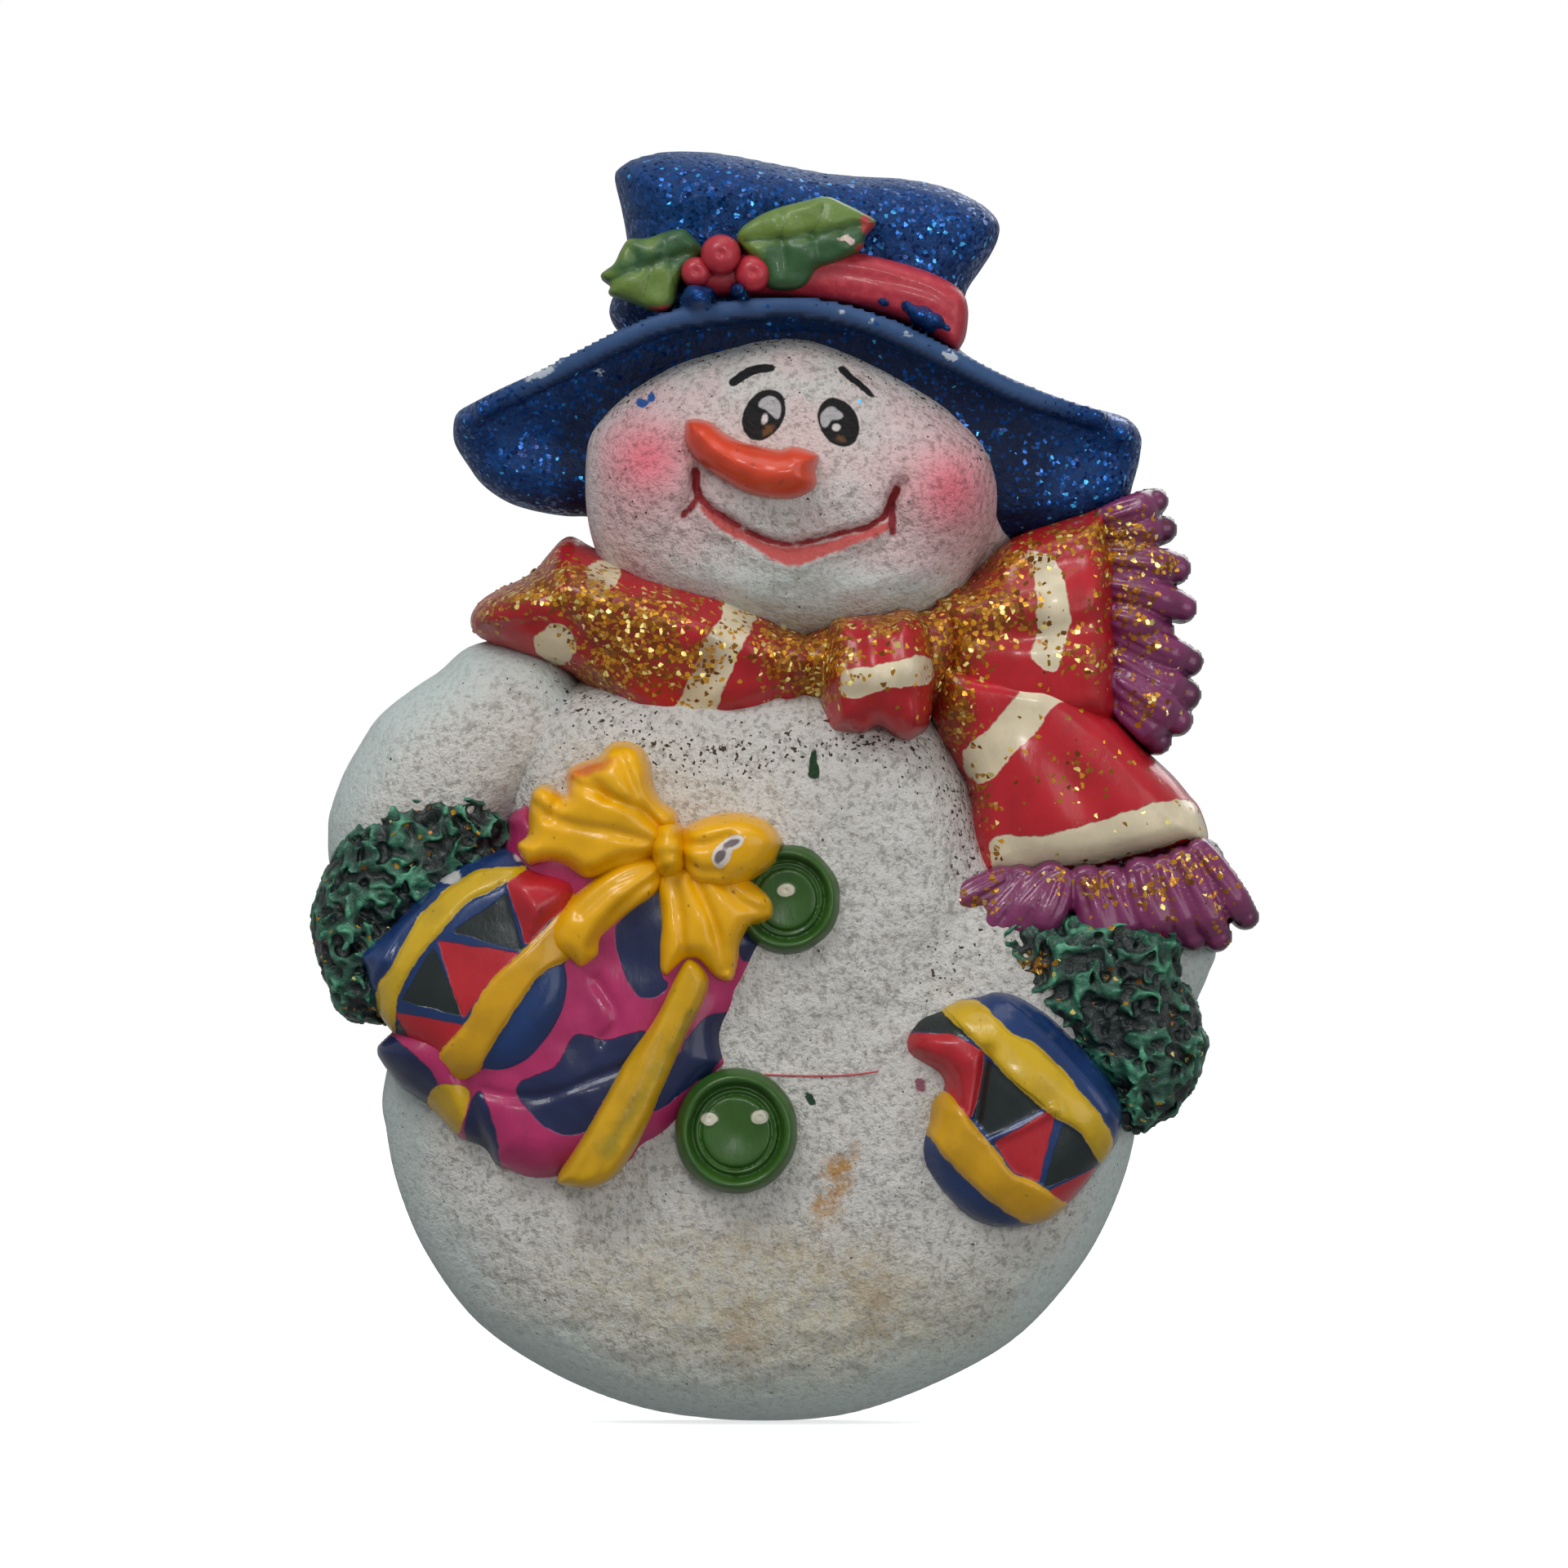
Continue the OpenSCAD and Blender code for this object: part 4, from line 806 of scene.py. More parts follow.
# Gold glitter: centre x, z, spread along x and z, and density
GOLD = [(-12.4, 17.4, 2.2, 1.7, 1), (-14.6, 16.3, 1.7, 1, 0.7), (-16, 15.3, 0.9, 0.8, 0.7),
        (-10, 16.4, 2, 1.8, 0.8), (-7, 15.6, 2.4, 1.8, 0.8), (-9, 13.6, 2, 2, 0.9), (-6, 12.8, 2.2, 2.2, 0.7),
        (-4, 13.4, 1.4, 2, 0.8), (-9.6, 11.8, 1.6, 1, 0.6), (1.8, 13.4, 1.9, 2.2, 1.3),
        (-0.2, 12.6, 1.3, 1.4, 0.7), (2.2, 11, 0.9, 1, 0.7), (-0.5, 15, 1.5, 0.8, 0.7),
        (3.2, 15, 1.6, 0.8, 0.9), (7, 15.4, 2, 1.2, 1), (9.8, 15.4, 1.8, 2, 1.2), (12.4, 16, 2.2, 1.7, 1),
        (10.2, 13.4, 1.6, 1.1, 0.9), (12.8, 18.6, 2, 1, 0.9), (16, 20, 2, 1.1, 0.8), (17.9, 19.2, 1.2, 2, 0.8),
        (17.6, 16.2, 0.9, 2.2, 0.4), (17, 13, 1.6, 1.2, 0.6), (9.5, 11.4, 1, 2, 1.1),
        (10.4, 10, 0.9, 1.4, 0.7), (9.7, 8.8, 0.8, 0.8, 0.5), (16.2, 6.3, 1.2, 1.2, 0.5),
        (14.2, 8, 1.4, 1, 0.2), (17, 7.4, 1.2, 0.8, 0.3), (11.3, 5.6, 0.7, 1.2, 0.6),
        (19.5, 7.6, 0.8, 0.6, 0.2),
        (14.6, 14, 0.6, 3, 0.25), (12, 2.2, 0.8, 0.8, 0.4), (3.6, 13.2, 0.9, 1.2, 0.8),
        (5.4, 14.6, 1.2, 0.8, 0.6), (19.6, 19.6, 1.2, 1.6, 0.8), (19.7, 16.2, 0.9, 1.5, 0.8),
        (20.4, 13.6, 1.3, 1, 0.5), (20.2, 10.6, 1, 1, 0.7), (21.6, 18.2, 0.8, 0.6, 0.7),
        (11, -0.3, 1.4, 0.8, 0.8), (17.4, 0.7, 1.2, 0.7, 1), (20.5, 0.5, 1.3, 0.8, 0.8),
        (22.6, 1.9, 1.6, 1, 0.7), (21.6, -1, 0.5, 0.7, 0.6), (24, -0.9, 0.8, 0.8, 0.5),
        (25, 0.3, 0.7, 0.7, 0.4), (14, -3.6, 1.2, 0.6, 0.8), (12.4, -4.3, 0.7, 0.5, 0.7),
        (18.6, -4, 1, 0.4, 0.25), (15.2, 1.2, 0.7, 0.5, 0.5)]
# Solid patches of paint that the gold left bare
BARE = [(-7.7, 17.5, 1.2, 0.7), (-10.6, 19.1, 0.9, 0.5), (-14.2, 15.2, 1.5, 0.6), (-7, 10.6, 1.6, 0.7),
        (-1.2, 10.6, 1.6, 1.5), (5.2, 9.9, 2.6, 0.9), (12.6, 12.2, 1.6, 0.8), (17, 17.6, 0.7, 1.6),
        (4.4, 14.6, 0.7, 0.6), (7.4, 14.4, 0.7, 0.6), (-4.7, 14.4, 0.7, 0.7)]
BRIGHT_BLUE = [(-12, 22.8), (-11.4, 22), (-11.5, 26.5), (-12.9, 26.9), (-0.55, 30.9), (0.2, 31.15),
               (14.1, 22), (14.4, 21.7), (9.7, 28.15), (12.7, 27.5), (6.7, 37.2), (-3.4, 37), (-1.5, 37.5),
               (-5.3, 37.3), (0.1, 38.2), (-4.3, 30.4), (6.75, 29), (-14.6, 23.8), (11.4, 36.4),
               (9.2, 36.8), (-7.1, 38), (16.4, 21.7), (-2.4, 27.9), (2.4, 28), (4.4, 27.1)]


def spread(x, z, centres):
    """Sum of soft spots. Each is centre x, z, spread x, z and strength."""
    return sum(strength * bump(x, z, (cx, cz), (rx, rz)) for cx, cz, rx, rz, strength in centres)


def gold_field(clay):
    bare = sum(bump(clay.x, clay.z, (cx, cz), (rx, rz)) for cx, cz, rx, rz in BARE)
    return np.clip(spread(clay.x, clay.z, GOLD) * 0.75, 0.02, 0.85) * np.clip(1 - bare, 0.1, 1)


def area(clay, points, smooth=True):
    return area_distance(clay.x, clay.z, curve(points) if smooth else np.array(points, float))


def areas(clay, lines, smooth=True):
    return np.minimum.reduce([area(clay, points, smooth) for points in lines])


def groove(clay, points, width, depth):
    """Height change of a soft channel along an open line. A negative depth makes a ridge."""
    distance, _ = line_distance(clay.x, clay.z, curve(points, closed=False))
    return -depth * np.exp(-(distance / width) ** 2)


def inner(clay, low=0.1, high=0.9):
    """0 at the outline and 1 a little way inside it."""
    return ease(low, high, -clay.side)


def rough(clay, size, amount, seed, share=1.0):
    return clay.lumps(size, seed) * amount * share


# ---------------------------------------------------------------- pieces

def drum(clay, centre, radius, deepest):
    """Field of a round hole from the back plane up to that depth."""
    reach = np.hypot(clay.x - centre[0], clay.z - centre[1])[:, None, :] - radius
    return soft_max(reach, clay.axes[1][None, :, None] - deepest, 0.1)


def make_body():
    """Belly and chest as one shell, with a round pocket for the magnet in the back."""
    clay = Clay(curve(BELLY + CHEST), BODY_TOP + 1)
    belly, chest = area(clay, BELLY), area(clay, CHEST)
    clay.side = belly
    low = clay.dome(WALL, BODY_TOP - 0.6, 5.5, 0.62)
    clay.side = chest
    high = clay.dome(WALL, BODY_TOP, 4.0, 0.7)
    clay.side = soft_min(belly, chest, 1.5)
    top = soft_max(low, high, 1.8)
    field = clay.solid(top)
    skin_in = inner(clay, 0.5, 3)[:, None, :]
    field = field + rough(clay, 0.55, 0.1, 3, skin_in) + rough(clay, 1.3, 0.09, 4, skin_in)
    field = soft_max(field, -drum(clay, (0, 0), MAGNET_R + 0.2, MAGNET_T + 0.05), 0.1)
    x, z = clay.x, clay.z
    airbrush = ease(3.6, 0.6, -clay.side + 0.7 * np.sin(x * 0.7) * np.sin(z * 0.5 + 1))
    airbrush = np.maximum(airbrush * ease(6, -10, z), 0.7 * ease(-24.5, -27.5, z))
    # Dark specks are denser just below the scarf and beside the cuffs.
    below_scarf, _ = line_distance(x, z, curve([(-14, 12.5), (-9, 9.8), (-5, 7.8), (-1, 7.9), (3, 8.6), (8, 8),
                                                (10, 5.6), (10.4, 2)], closed=False))
    speck_density = np.clip(0.15 + 1.1 * np.exp(-(below_scarf / 1.5) ** 2) + spread(x, z, [
        (10, -3, 2, 3, 0.6), (8.7, -4.4, 1.5, 1, 0.5), (-13, 5.5, 3, 2, 0.4)]), 0, 1.2)
    paints = {
        "airbrush": airbrush,
        "speck_density": speck_density,
        "tan": blob(x, z, (3.2, -15.6), (0.9, 2.2), -22),
        "cream": blob(x, z, (-1, -21.6), (10, 3.4), -6),
        "brown": np.minimum.reduce([blob(x, z, (5.4, -21.4), (1.2, 2.2), 10),
                                    blob(x, z, (-1.8, -23.6), (0.8, 1.6)),
                                    blob(x, z, (1.6, -19.4), (2.6, 0.5), -12)]),
        "green": area(clay, [(1.75, 6.6), (1.95, 8.3), (2.2, 8.1), (2.45, 6.45)], False),
        "chip": area(clay, [(1.35, -10.4), (2, -10.6), (2.3, -11.5), (1.8, -11.2)], False),
        "smear": blob(x, z, (7.9, -10.2), (0.35, 0.45)),
        # Painted shade: the belly is tinted darker and a little yellower towards the bottom, away from the
        # light above.
        "low": ease(-15, -29, z - 0.1 * x),
    }
    layers = [("green", ink(34, 66, 40), 0.03, 0.1), ("chip", ink(40, 70, 50), 0.03, 0.1),
              ("smear", ink(150, 92, 108), 0.1, 0.3)]
    stains = [("cream", ink(204, 192, 158), 2.2, 1.6, 0.6), ("brown", ink(176, 146, 102), 1.3, 1.6, 0.6),
              ("tan", ink(190, 142, 78), 0.4, 0.8, 0.95)]
    # The low tint is painted shade on the lower belly.
    tints = [("low", ink(196, 196, 178), 0.6)]
    return build("body_shell", clay, field, paints, stucco("stucco_body", layers, stains, tints), ["body"])


def make_arm(name, line, node, crown):
    clay = Clay(curve(line), crown + 1)
    top = clay.dome(WALL, crown, 3.6, 0.7)
    field = clay.solid(top)
    field = field + rough(clay, 0.6, 0.05, 7, inner(clay, 0.6, 3.4)[:, None, :])
    x, z = clay.x, clay.z
    paints = {"airbrush": ease(3.6, 0.5, -clay.side),
              # More dark specks just below the scarf's left end.
              "speck_density": np.clip(0.1 + bump(x, z, (-11, 11), (3, 2)), 0, 1)}
    return build(name, clay, field, paints, stucco("stucco_" + name), [node])


def make_head():
    """Head with a face that stands forward of it. Eyes, brows, blush and mouth are painted."""
    clay = Clay(curve(HEAD), HEAD_TOP + 1.4, cell=SHARP)
    head_side, face_side = clay.side, area(clay, FACE)
    low = clay.dome(WALL, 7.4, 3, 0.6)
    clay.side = face_side
    face = clay.dome(4.5, HEAD_TOP - 0.6, 3.4, 0.62)
    clay.side = head_side
    x, z = clay.x, clay.z
    top = np.where(face_side < 0, soft_max(low, face, 0.5), low)
    top = top + 1.1 * bump(x, z, (-7.2, 23.0), (3.0, 2.9)) + 1.2 * bump(x, z, (9.3, 22.5), (2.9, 3.0))
    top = top + 0.7 * bump(x, z, (0.6, 22), (4.2, 1.9)) + 0.5 * bump(x, z, (0.5, 17.4), (5, 1.4))
    top = top + groove(clay, [(-4.5, 24.6), (-4.05, 23.3), (-4.3, 22.3), (-5, 21)], 0.45, 0.55)
    top = top + groove(clay, [(6.9, 22.7), (6.4, 21.6), (6.45, 20)], 0.45, 0.55)
    top = top + groove(clay, MOUTH, 0.3, 0.5)
    top = top + groove(clay, LIP, 0.5, -0.3)
    top = top + groove(clay, [(-3, 18.1), (-0.5, 17.2), (2, 16.9), (5, 18)], 0.8, 0.15)
    rim = inner(clay, 0.4, 2.6)
    field = clay.solid(top)
    field = field + rough(clay, 0.45, 0.05, 13, rim[:, None, :])
    field = field + rough(clay, 1.1, 0.05, 14, rim[:, None, :])
    eye_l, eye_r = (-0.65, 26.4), (3.42, 26.0)
    mouth, along = line_distance(x, z, curve(MOUTH, False))
    corners = np.minimum(line_distance(x, z, curve(CORNER_LEFT, False))[0],
                         line_distance(x, z, curve(CORNER_RIGHT, False))[0])
    brow_l, along_l = line_distance(x, z, curve([(-2.35, 28.2), (-1.75, 28.62), (-1.1, 28.9), (-0.25, 29)],
                                                False))
    brow_r, along_r = line_distance(x, z, curve([(3.6, 28.95), (4.15, 28.45), (4.75, 27.95), (5.3, 27.45)],
                                                False))
    paints = {
        "airbrush": np.maximum(0.8 * ease(19.4, 17.2, z + 0.03 * x * x * 0.3),
                               0.5 * ease(1.2, 0.3, -clay.side)),
        # More dark specks along the head's top edge under the hat brim, and on its right side.
        "speck_density": np.clip(0.2 + 0.9 * ease(1.8, 0.2, -clay.side) * ease(24, 27, z)
                        + bump(x, z, (11.5, 24.8), (0.8, 1.2)) * 2, 0, 1.3),
        "blush": np.maximum(bump(x, z, (-7.1, 24), (2.3, 2.2)), bump(x, z, (9.6, 22.3), (2.2, 2.4))),
        "flush": np.maximum(bump(x, z, (-7.5, 23), (4.4, 5)), bump(x, z, (9.4, 22.6), (4.4, 5.4))),
        "lip": area(clay, LIP_FILL),
        "mouth": mouth - 0.26 + 0.13 * np.sin(np.pi * along),
        "corner": corners - 0.2,
        "eye_rim": np.minimum(blob(x, z, eye_l, (1.5, 1.08), 62), blob(x, z, eye_r, (1.42, 1.05), 118)),
        "eye_white": np.minimum(
            area(clay, [(-1.0, 26.9), (-0.7, 27.3), (-0.1, 27.42), (0.25, 26.95), (0.25, 26.4), (0.06, 26.12),
                        (-0.28, 26.45), (-0.6, 26.7)]),
            area(clay, [(2.46, 26.38), (2.79, 26.8), (3.29, 26.78), (3.7, 26.38), (3.45, 26.17), (3.04, 26.13),
                        (2.79, 25.75), (2.54, 25.68)])),
        "glint": np.minimum(blob(x, z, (-0.61, 26.17), (0.32, 0.18), 75),
                            blob(x, z, (3.3, 25.72), (0.25, 0.22))),
        "iris": np.minimum(blob(x, z, (-0.42, 25.6), (0.42, 0.24), 40),
                           blob(x, z, (3.5, 25.1), (0.3, 0.14), 160)),
        "brow": np.minimum(brow_l - 0.22 - 0.05 * np.sin(np.pi * along_l),
                           brow_r - 0.22 + 0.08 * along_r),
        "blue": np.minimum(blob(x, z, (-7.4, 27.1), (0.35, 0.25)), blob(x, z, (-6.8, 27.4), (0.22, 0.3))),
    }
    tints = [("flush", ink(236, 196, 200), 0.75), ("blush", ink(240, 122, 138), 0.95)]
    layers = [("lip", ink(208, 96, 92), 0.14, 0.2), ("mouth", ink(150, 46, 50), 0.07, 0.12),
              ("corner", ink(146, 50, 54), 0.08, 0.1), ("eye_rim", ink(24, 24, 26), 0.04, 0.05),
              ("eye_white", ink(186, 184, 186), 0.06, 0.08),
              ("iris", ink(112, 76, 44), 0.1, 0.16), ("glint", ink(224, 216, 214), 0.05, 0.05),
              ("brow", ink(26, 26, 28), 0.04, 0.08), ("blue", ink(50, 96, 170), 0.04, 0.3)]
    return build("head_shell", clay, field, paints, stucco("stucco_face", layers, (), tints, 0.6), ["head"])


def make_nose():
    clay = Clay(curve(NOSE), 13.6, back=8.6, cell=SHARPER)
    top = clay.dome(10.2, 13.1, 1.5, 0.9)
    distance, along = line_distance(clay.x, clay.z, curve([(-4.4, 25.5), (-2.5, 24), (0, 23.3), (2.2, 23.3)],
                                                          False))
    wrinkles = 0.035 * np.sin(along * 30 + 1.5 * distance)
    top = top + wrinkles * inner(clay, 0.1, 0.7) * ease(0.9, 0.2, distance)
    top = top + 0.5 * along - 0.3
    field = clay.solid(top)
    look = enamel("carrot", ink(219, 74, 45), rough=0.28, streak=0.03, shade=0.84, spots=0.3)
    return build("nose_cone", clay, field, {}, look, ["nose"])


def make_hat():
    """Brim with its rolled rim and lumps of glue, and the crown."""
    clay = Clay(curve(BRIM), HAT_TOP + 3.2)
    x, z = clay.x, clay.z
    glue = np.minimum.reduce([blob(x, z, (-4.3, 32.85), (1.15, 0.95)), blob(x, z, (-2, 33.25), (0.78, 0.62)),
                              blob(x, z, (8.1, 31.8), (2.1, 0.75), -28),
                              blob(x, z, (5.9, 32.6), (0.9, 0.45), -20)])
    brim = clay.side
    top = clay.dome(WALL, 6.9, 2.4, 0.8)
    rim, _ = line_distance(x, z, curve(RIM, closed=False))
    from_middle = np.abs(x - 0.8)
    bead = 9.2 - 2.2 * ease(8, 16, from_middle) + 0.55 * np.sqrt(np.maximum(1 - (rim / 0.55) ** 2, 0))
    top = top + 1.2 * np.exp(-(rim / 0.9) ** 2)
    top = np.where(rim < 0.55, np.maximum(top, bead * ease(18.5, 17, from_middle)), top)
    top = top - 0.9 * bump(x, z, (-12.6, 25), (2.6, 2.2)) - 0.8 * bump(x, z, (16.6, 24.4), (2.4, 2.4))
    clay.side = glue + 0.12 * np.sin(x * 5.1) * np.sin(z * 4.3)
    lumps = clay.dome(6, np.where(x < 0, 11.4, 10.4), 0.8, 0.9)
    top = np.where(clay.side < 0, np.maximum(top, lumps), top)
    clay.side = np.minimum(brim, clay.side)
    field = clay.solid(top)
    # The rolled rim: less glitter, and a lighter blue that is painted highlight.
    smooth_rim = ease(0.68, 0.5, rim) * ease(17, 13, from_middle)
    crust = inner(clay, 0.2, 1)[:, None, :] * (1 - 0.75 * smooth_rim)[:, None, :]
    field = field + rough(clay, 0.45, 0.06, 23, crust) + rough(clay, 1.2, 0.06, 24, crust)
    head_near = area_distance(x, z, curve(HEAD))
    paints = {
        "smooth": smooth_rim,
        # under is painted shade on the brim's underside next to the head.
        "under": np.clip(np.exp(-(np.maximum(head_near, 0) / 1.9) ** 2) * ease(0.5, 0.8, rim)
                         + 0.35 * bump(x, z, (-11.3, 25), (1, 3)), 0, 1) * ease(-0.2, 0.3, glue),
        "chips": np.minimum.reduce([blob(x, z, (-12.8, 28.75), (1.1, 0.2), 26),
                                    blob(x, z, (7.1, 30.75), (0.26, 0.2)),
                                    blob(x, z, (9.5, 29.65), (0.42, 0.3), -30),
                                    blob(x, z, (-9.7, 28.8), (0.3, 0.25)),
                                    blob(x, z, (3.65, 32), (0.22, 0.06)),
                                    blob(x, z, (5.2, 31.4), (0.12, 0.22))]),
    }
    look = blue_glitter("hat_glitter")
    brim_piece = build("brim_shell", clay, field, paints, look, ["hat_brim"])

    clay = Clay(curve(CROWN), HAT_TOP + 1)
    x, z = clay.x, clay.z
    top = clay.dome(WALL, HAT_TOP - 0.3, 2.2, 0.75)
    top = top + 0.4 * ease(37, 39, z - 0.06 * x) - 0.5 * bump(x, z, (1, 35), (8, 1.8))
    field = clay.solid(top)
    crust = inner(clay, 0.2, 1)[:, None, :]
    field = field + rough(clay, 0.45, 0.06, 33, crust) + rough(clay, 1.2, 0.06, 34, crust)
    # The crown's top edge is painted lighter as highlight, and its foot darker towards the band as painted
    # shade.
    lit_top_edge = ease(1.5, 0.3, -clay.side) * ease(36, 38, z)
    paints = {"smooth": 0.45 * lit_top_edge, "under": 0.5 * ease(35.5, 33, z), "chips": np.full(x.shape, 5.0)}
    crown_piece = build("crown_shell", clay, field, paints, look, ["hat_crown"])
    return brim_piece, crown_piece


def make_band():
    clay = Clay(curve(BAND), 10, back=5, cell=SHARP)
    top = clay.dome(7.6, 9.3, 0.9, 0.85)
    for shift in (0.4, 1.3):
        line = [(1.5, 34.6 - shift), (4, 34.5 - shift), (6.6, 34.0 - shift), (8.6, 33.4 - shift),
                (10, 32.4 - shift)]
        top = top + groove(clay, line, 0.35, 0.1)
    field = clay.solid(top, 0.25) + rough(clay, 1.1, 0.04, 43)
    look = plain("band_paint", ink(178, 44, 58), 0.46, ink(194, 60, 72), coat=0.1)
    return build("hat_band_cloth", clay, field, {}, look, ["hat_band"])


def make_holly():
    made = []
    veins = {
        "left": ([(-9.3, 33.7), (-7.8, 34.3), (-6.2, 34.8), (-4.3, 35.3)],
                 [(-8.1, 35.7), (-7.6, 34.9), (-7.6, 34.4)],
                 [(-6.2, 36.2), (-6.1, 35.4), (-6.4, 34.8)], [(-7.2, 32.8), (-7, 33.6), (-6.8, 34.5)],
                 [(-5.5, 33.4), (-5.7, 34.2), (-5.6, 34.9)]),
        "right": ([(-1.7, 35.9), (0.6, 36), (2.6, 36.3), (5.1, 36.8)], [(0.2, 37.5), (0.4, 36.7), (0.2, 36)],
                  [(2.6, 38), (2.4, 37.1), (1.9, 36.2)], [(0.4, 33.6), (0.5, 34.8), (0.3, 35.9)],
                  [(2.4, 34.6), (2.3, 35.4), (2, 36.1)], [(4.2, 35.6), (3.8, 36), (3.5, 36.4)]),
    }
    for side, line, crown in (("left", LEAF_LEFT, 10.0), ("right", LEAF_RIGHT, 10.4)):
        clay = Clay(curve(line), 11, back=6, cell=SHARPER)
        x, z = clay.x, clay.z
        top = clay.dome(crown - 1.1, crown, 0.6, 0.7)
        vein = np.full(x.shape, 9.0)
        for index, points in enumerate(veins[side]):
            top = top + groove(clay, points, 0.34 if index == 0 else 0.24, 0.26 if index == 0 else 0.12)
            distance, _ = line_distance(x, z, curve(points, False))
            vein = np.minimum(vein, distance - (0.1 if index == 0 else 0.04))
        top = top + 0.12 * np.sin(x * 2.3 + 1) * np.sin(z * 2.1) * inner(clay, 0.1, 0.6)
        field = clay.solid(top, 0.2)
        if side == "left":
            lower = area(clay, [(-9.2, 34.4), (-8, 35), (-7.6, 36), (-6.8, 35.4), (-6, 36.8), (-3.8, 36.4),
                                (-3.8, 35), (-5, 34.2), (-6.5, 34.6), (-7.8, 34.2)])
            tip = blob(x, z, (-6.2, 32.1), (0.9, 0.3), 8)
            chip = np.full(x.shape, 5.0)
        else:
            lower = area(clay, [(-0.6, 35.6), (1, 36), (3, 36.5), (5.2, 37), (5.4, 36), (4, 34.6), (2, 33.4),
                                (0, 33), (-1, 33.6)])
            tip = np.minimum(blob(x, z, (5.05, 36.6), (0.3, 0.7), 20), blob(x, z, (4.9, 35.6), (0.5, 0.2), 30))
            chip = area(clay, [(3.4, 36), (4, 36.2), (4.35, 36.0), (4.4, 35.5), (4.1, 35.55), (3.9, 35.8)],
                        False)
        paints = {"lower": lower, "vein": vein, "tip": tip, "chip": chip}
        made.append(build("holly_" + side, clay, field, paints, leafy("leaf_" + side),
                          ["holly_leaf_" + side]))
    look = enamel("berry_paint", ink(186, 48, 62), rough=0.34, streak=0.04, shade=0.8)
    for name, centre, radius in (("berry_upper", (-3, 35.15), 1.12), ("berry_left", (-4.35, 34.2), 0.85),
                                 ("berry_right", (-1.25, 34.15), 1.05)):
        angles = np.linspace(0, 2 * np.pi, 24, endpoint=False)
        ring = np.stack([centre[0] + radius * np.cos(angles), centre[1] + radius * np.sin(angles)], 1)
        clay = Clay(ring, 11.4, back=7, cell=CELL * 0.45)
        reach = np.hypot(clay.x - centre[0], clay.z - centre[1])
        high = 9.9 + (0.5 if name == "berry_upper" else 0)
        top = high - radius + 0.6 + np.sqrt(np.maximum(radius ** 2 - reach ** 2, 0)) - 0.18 * np.exp(
            -(reach / 0.25) ** 2)
        made.append(build(name + "_bead", clay, clay.solid(top, 0.2), {}, look, [name]))
    return made


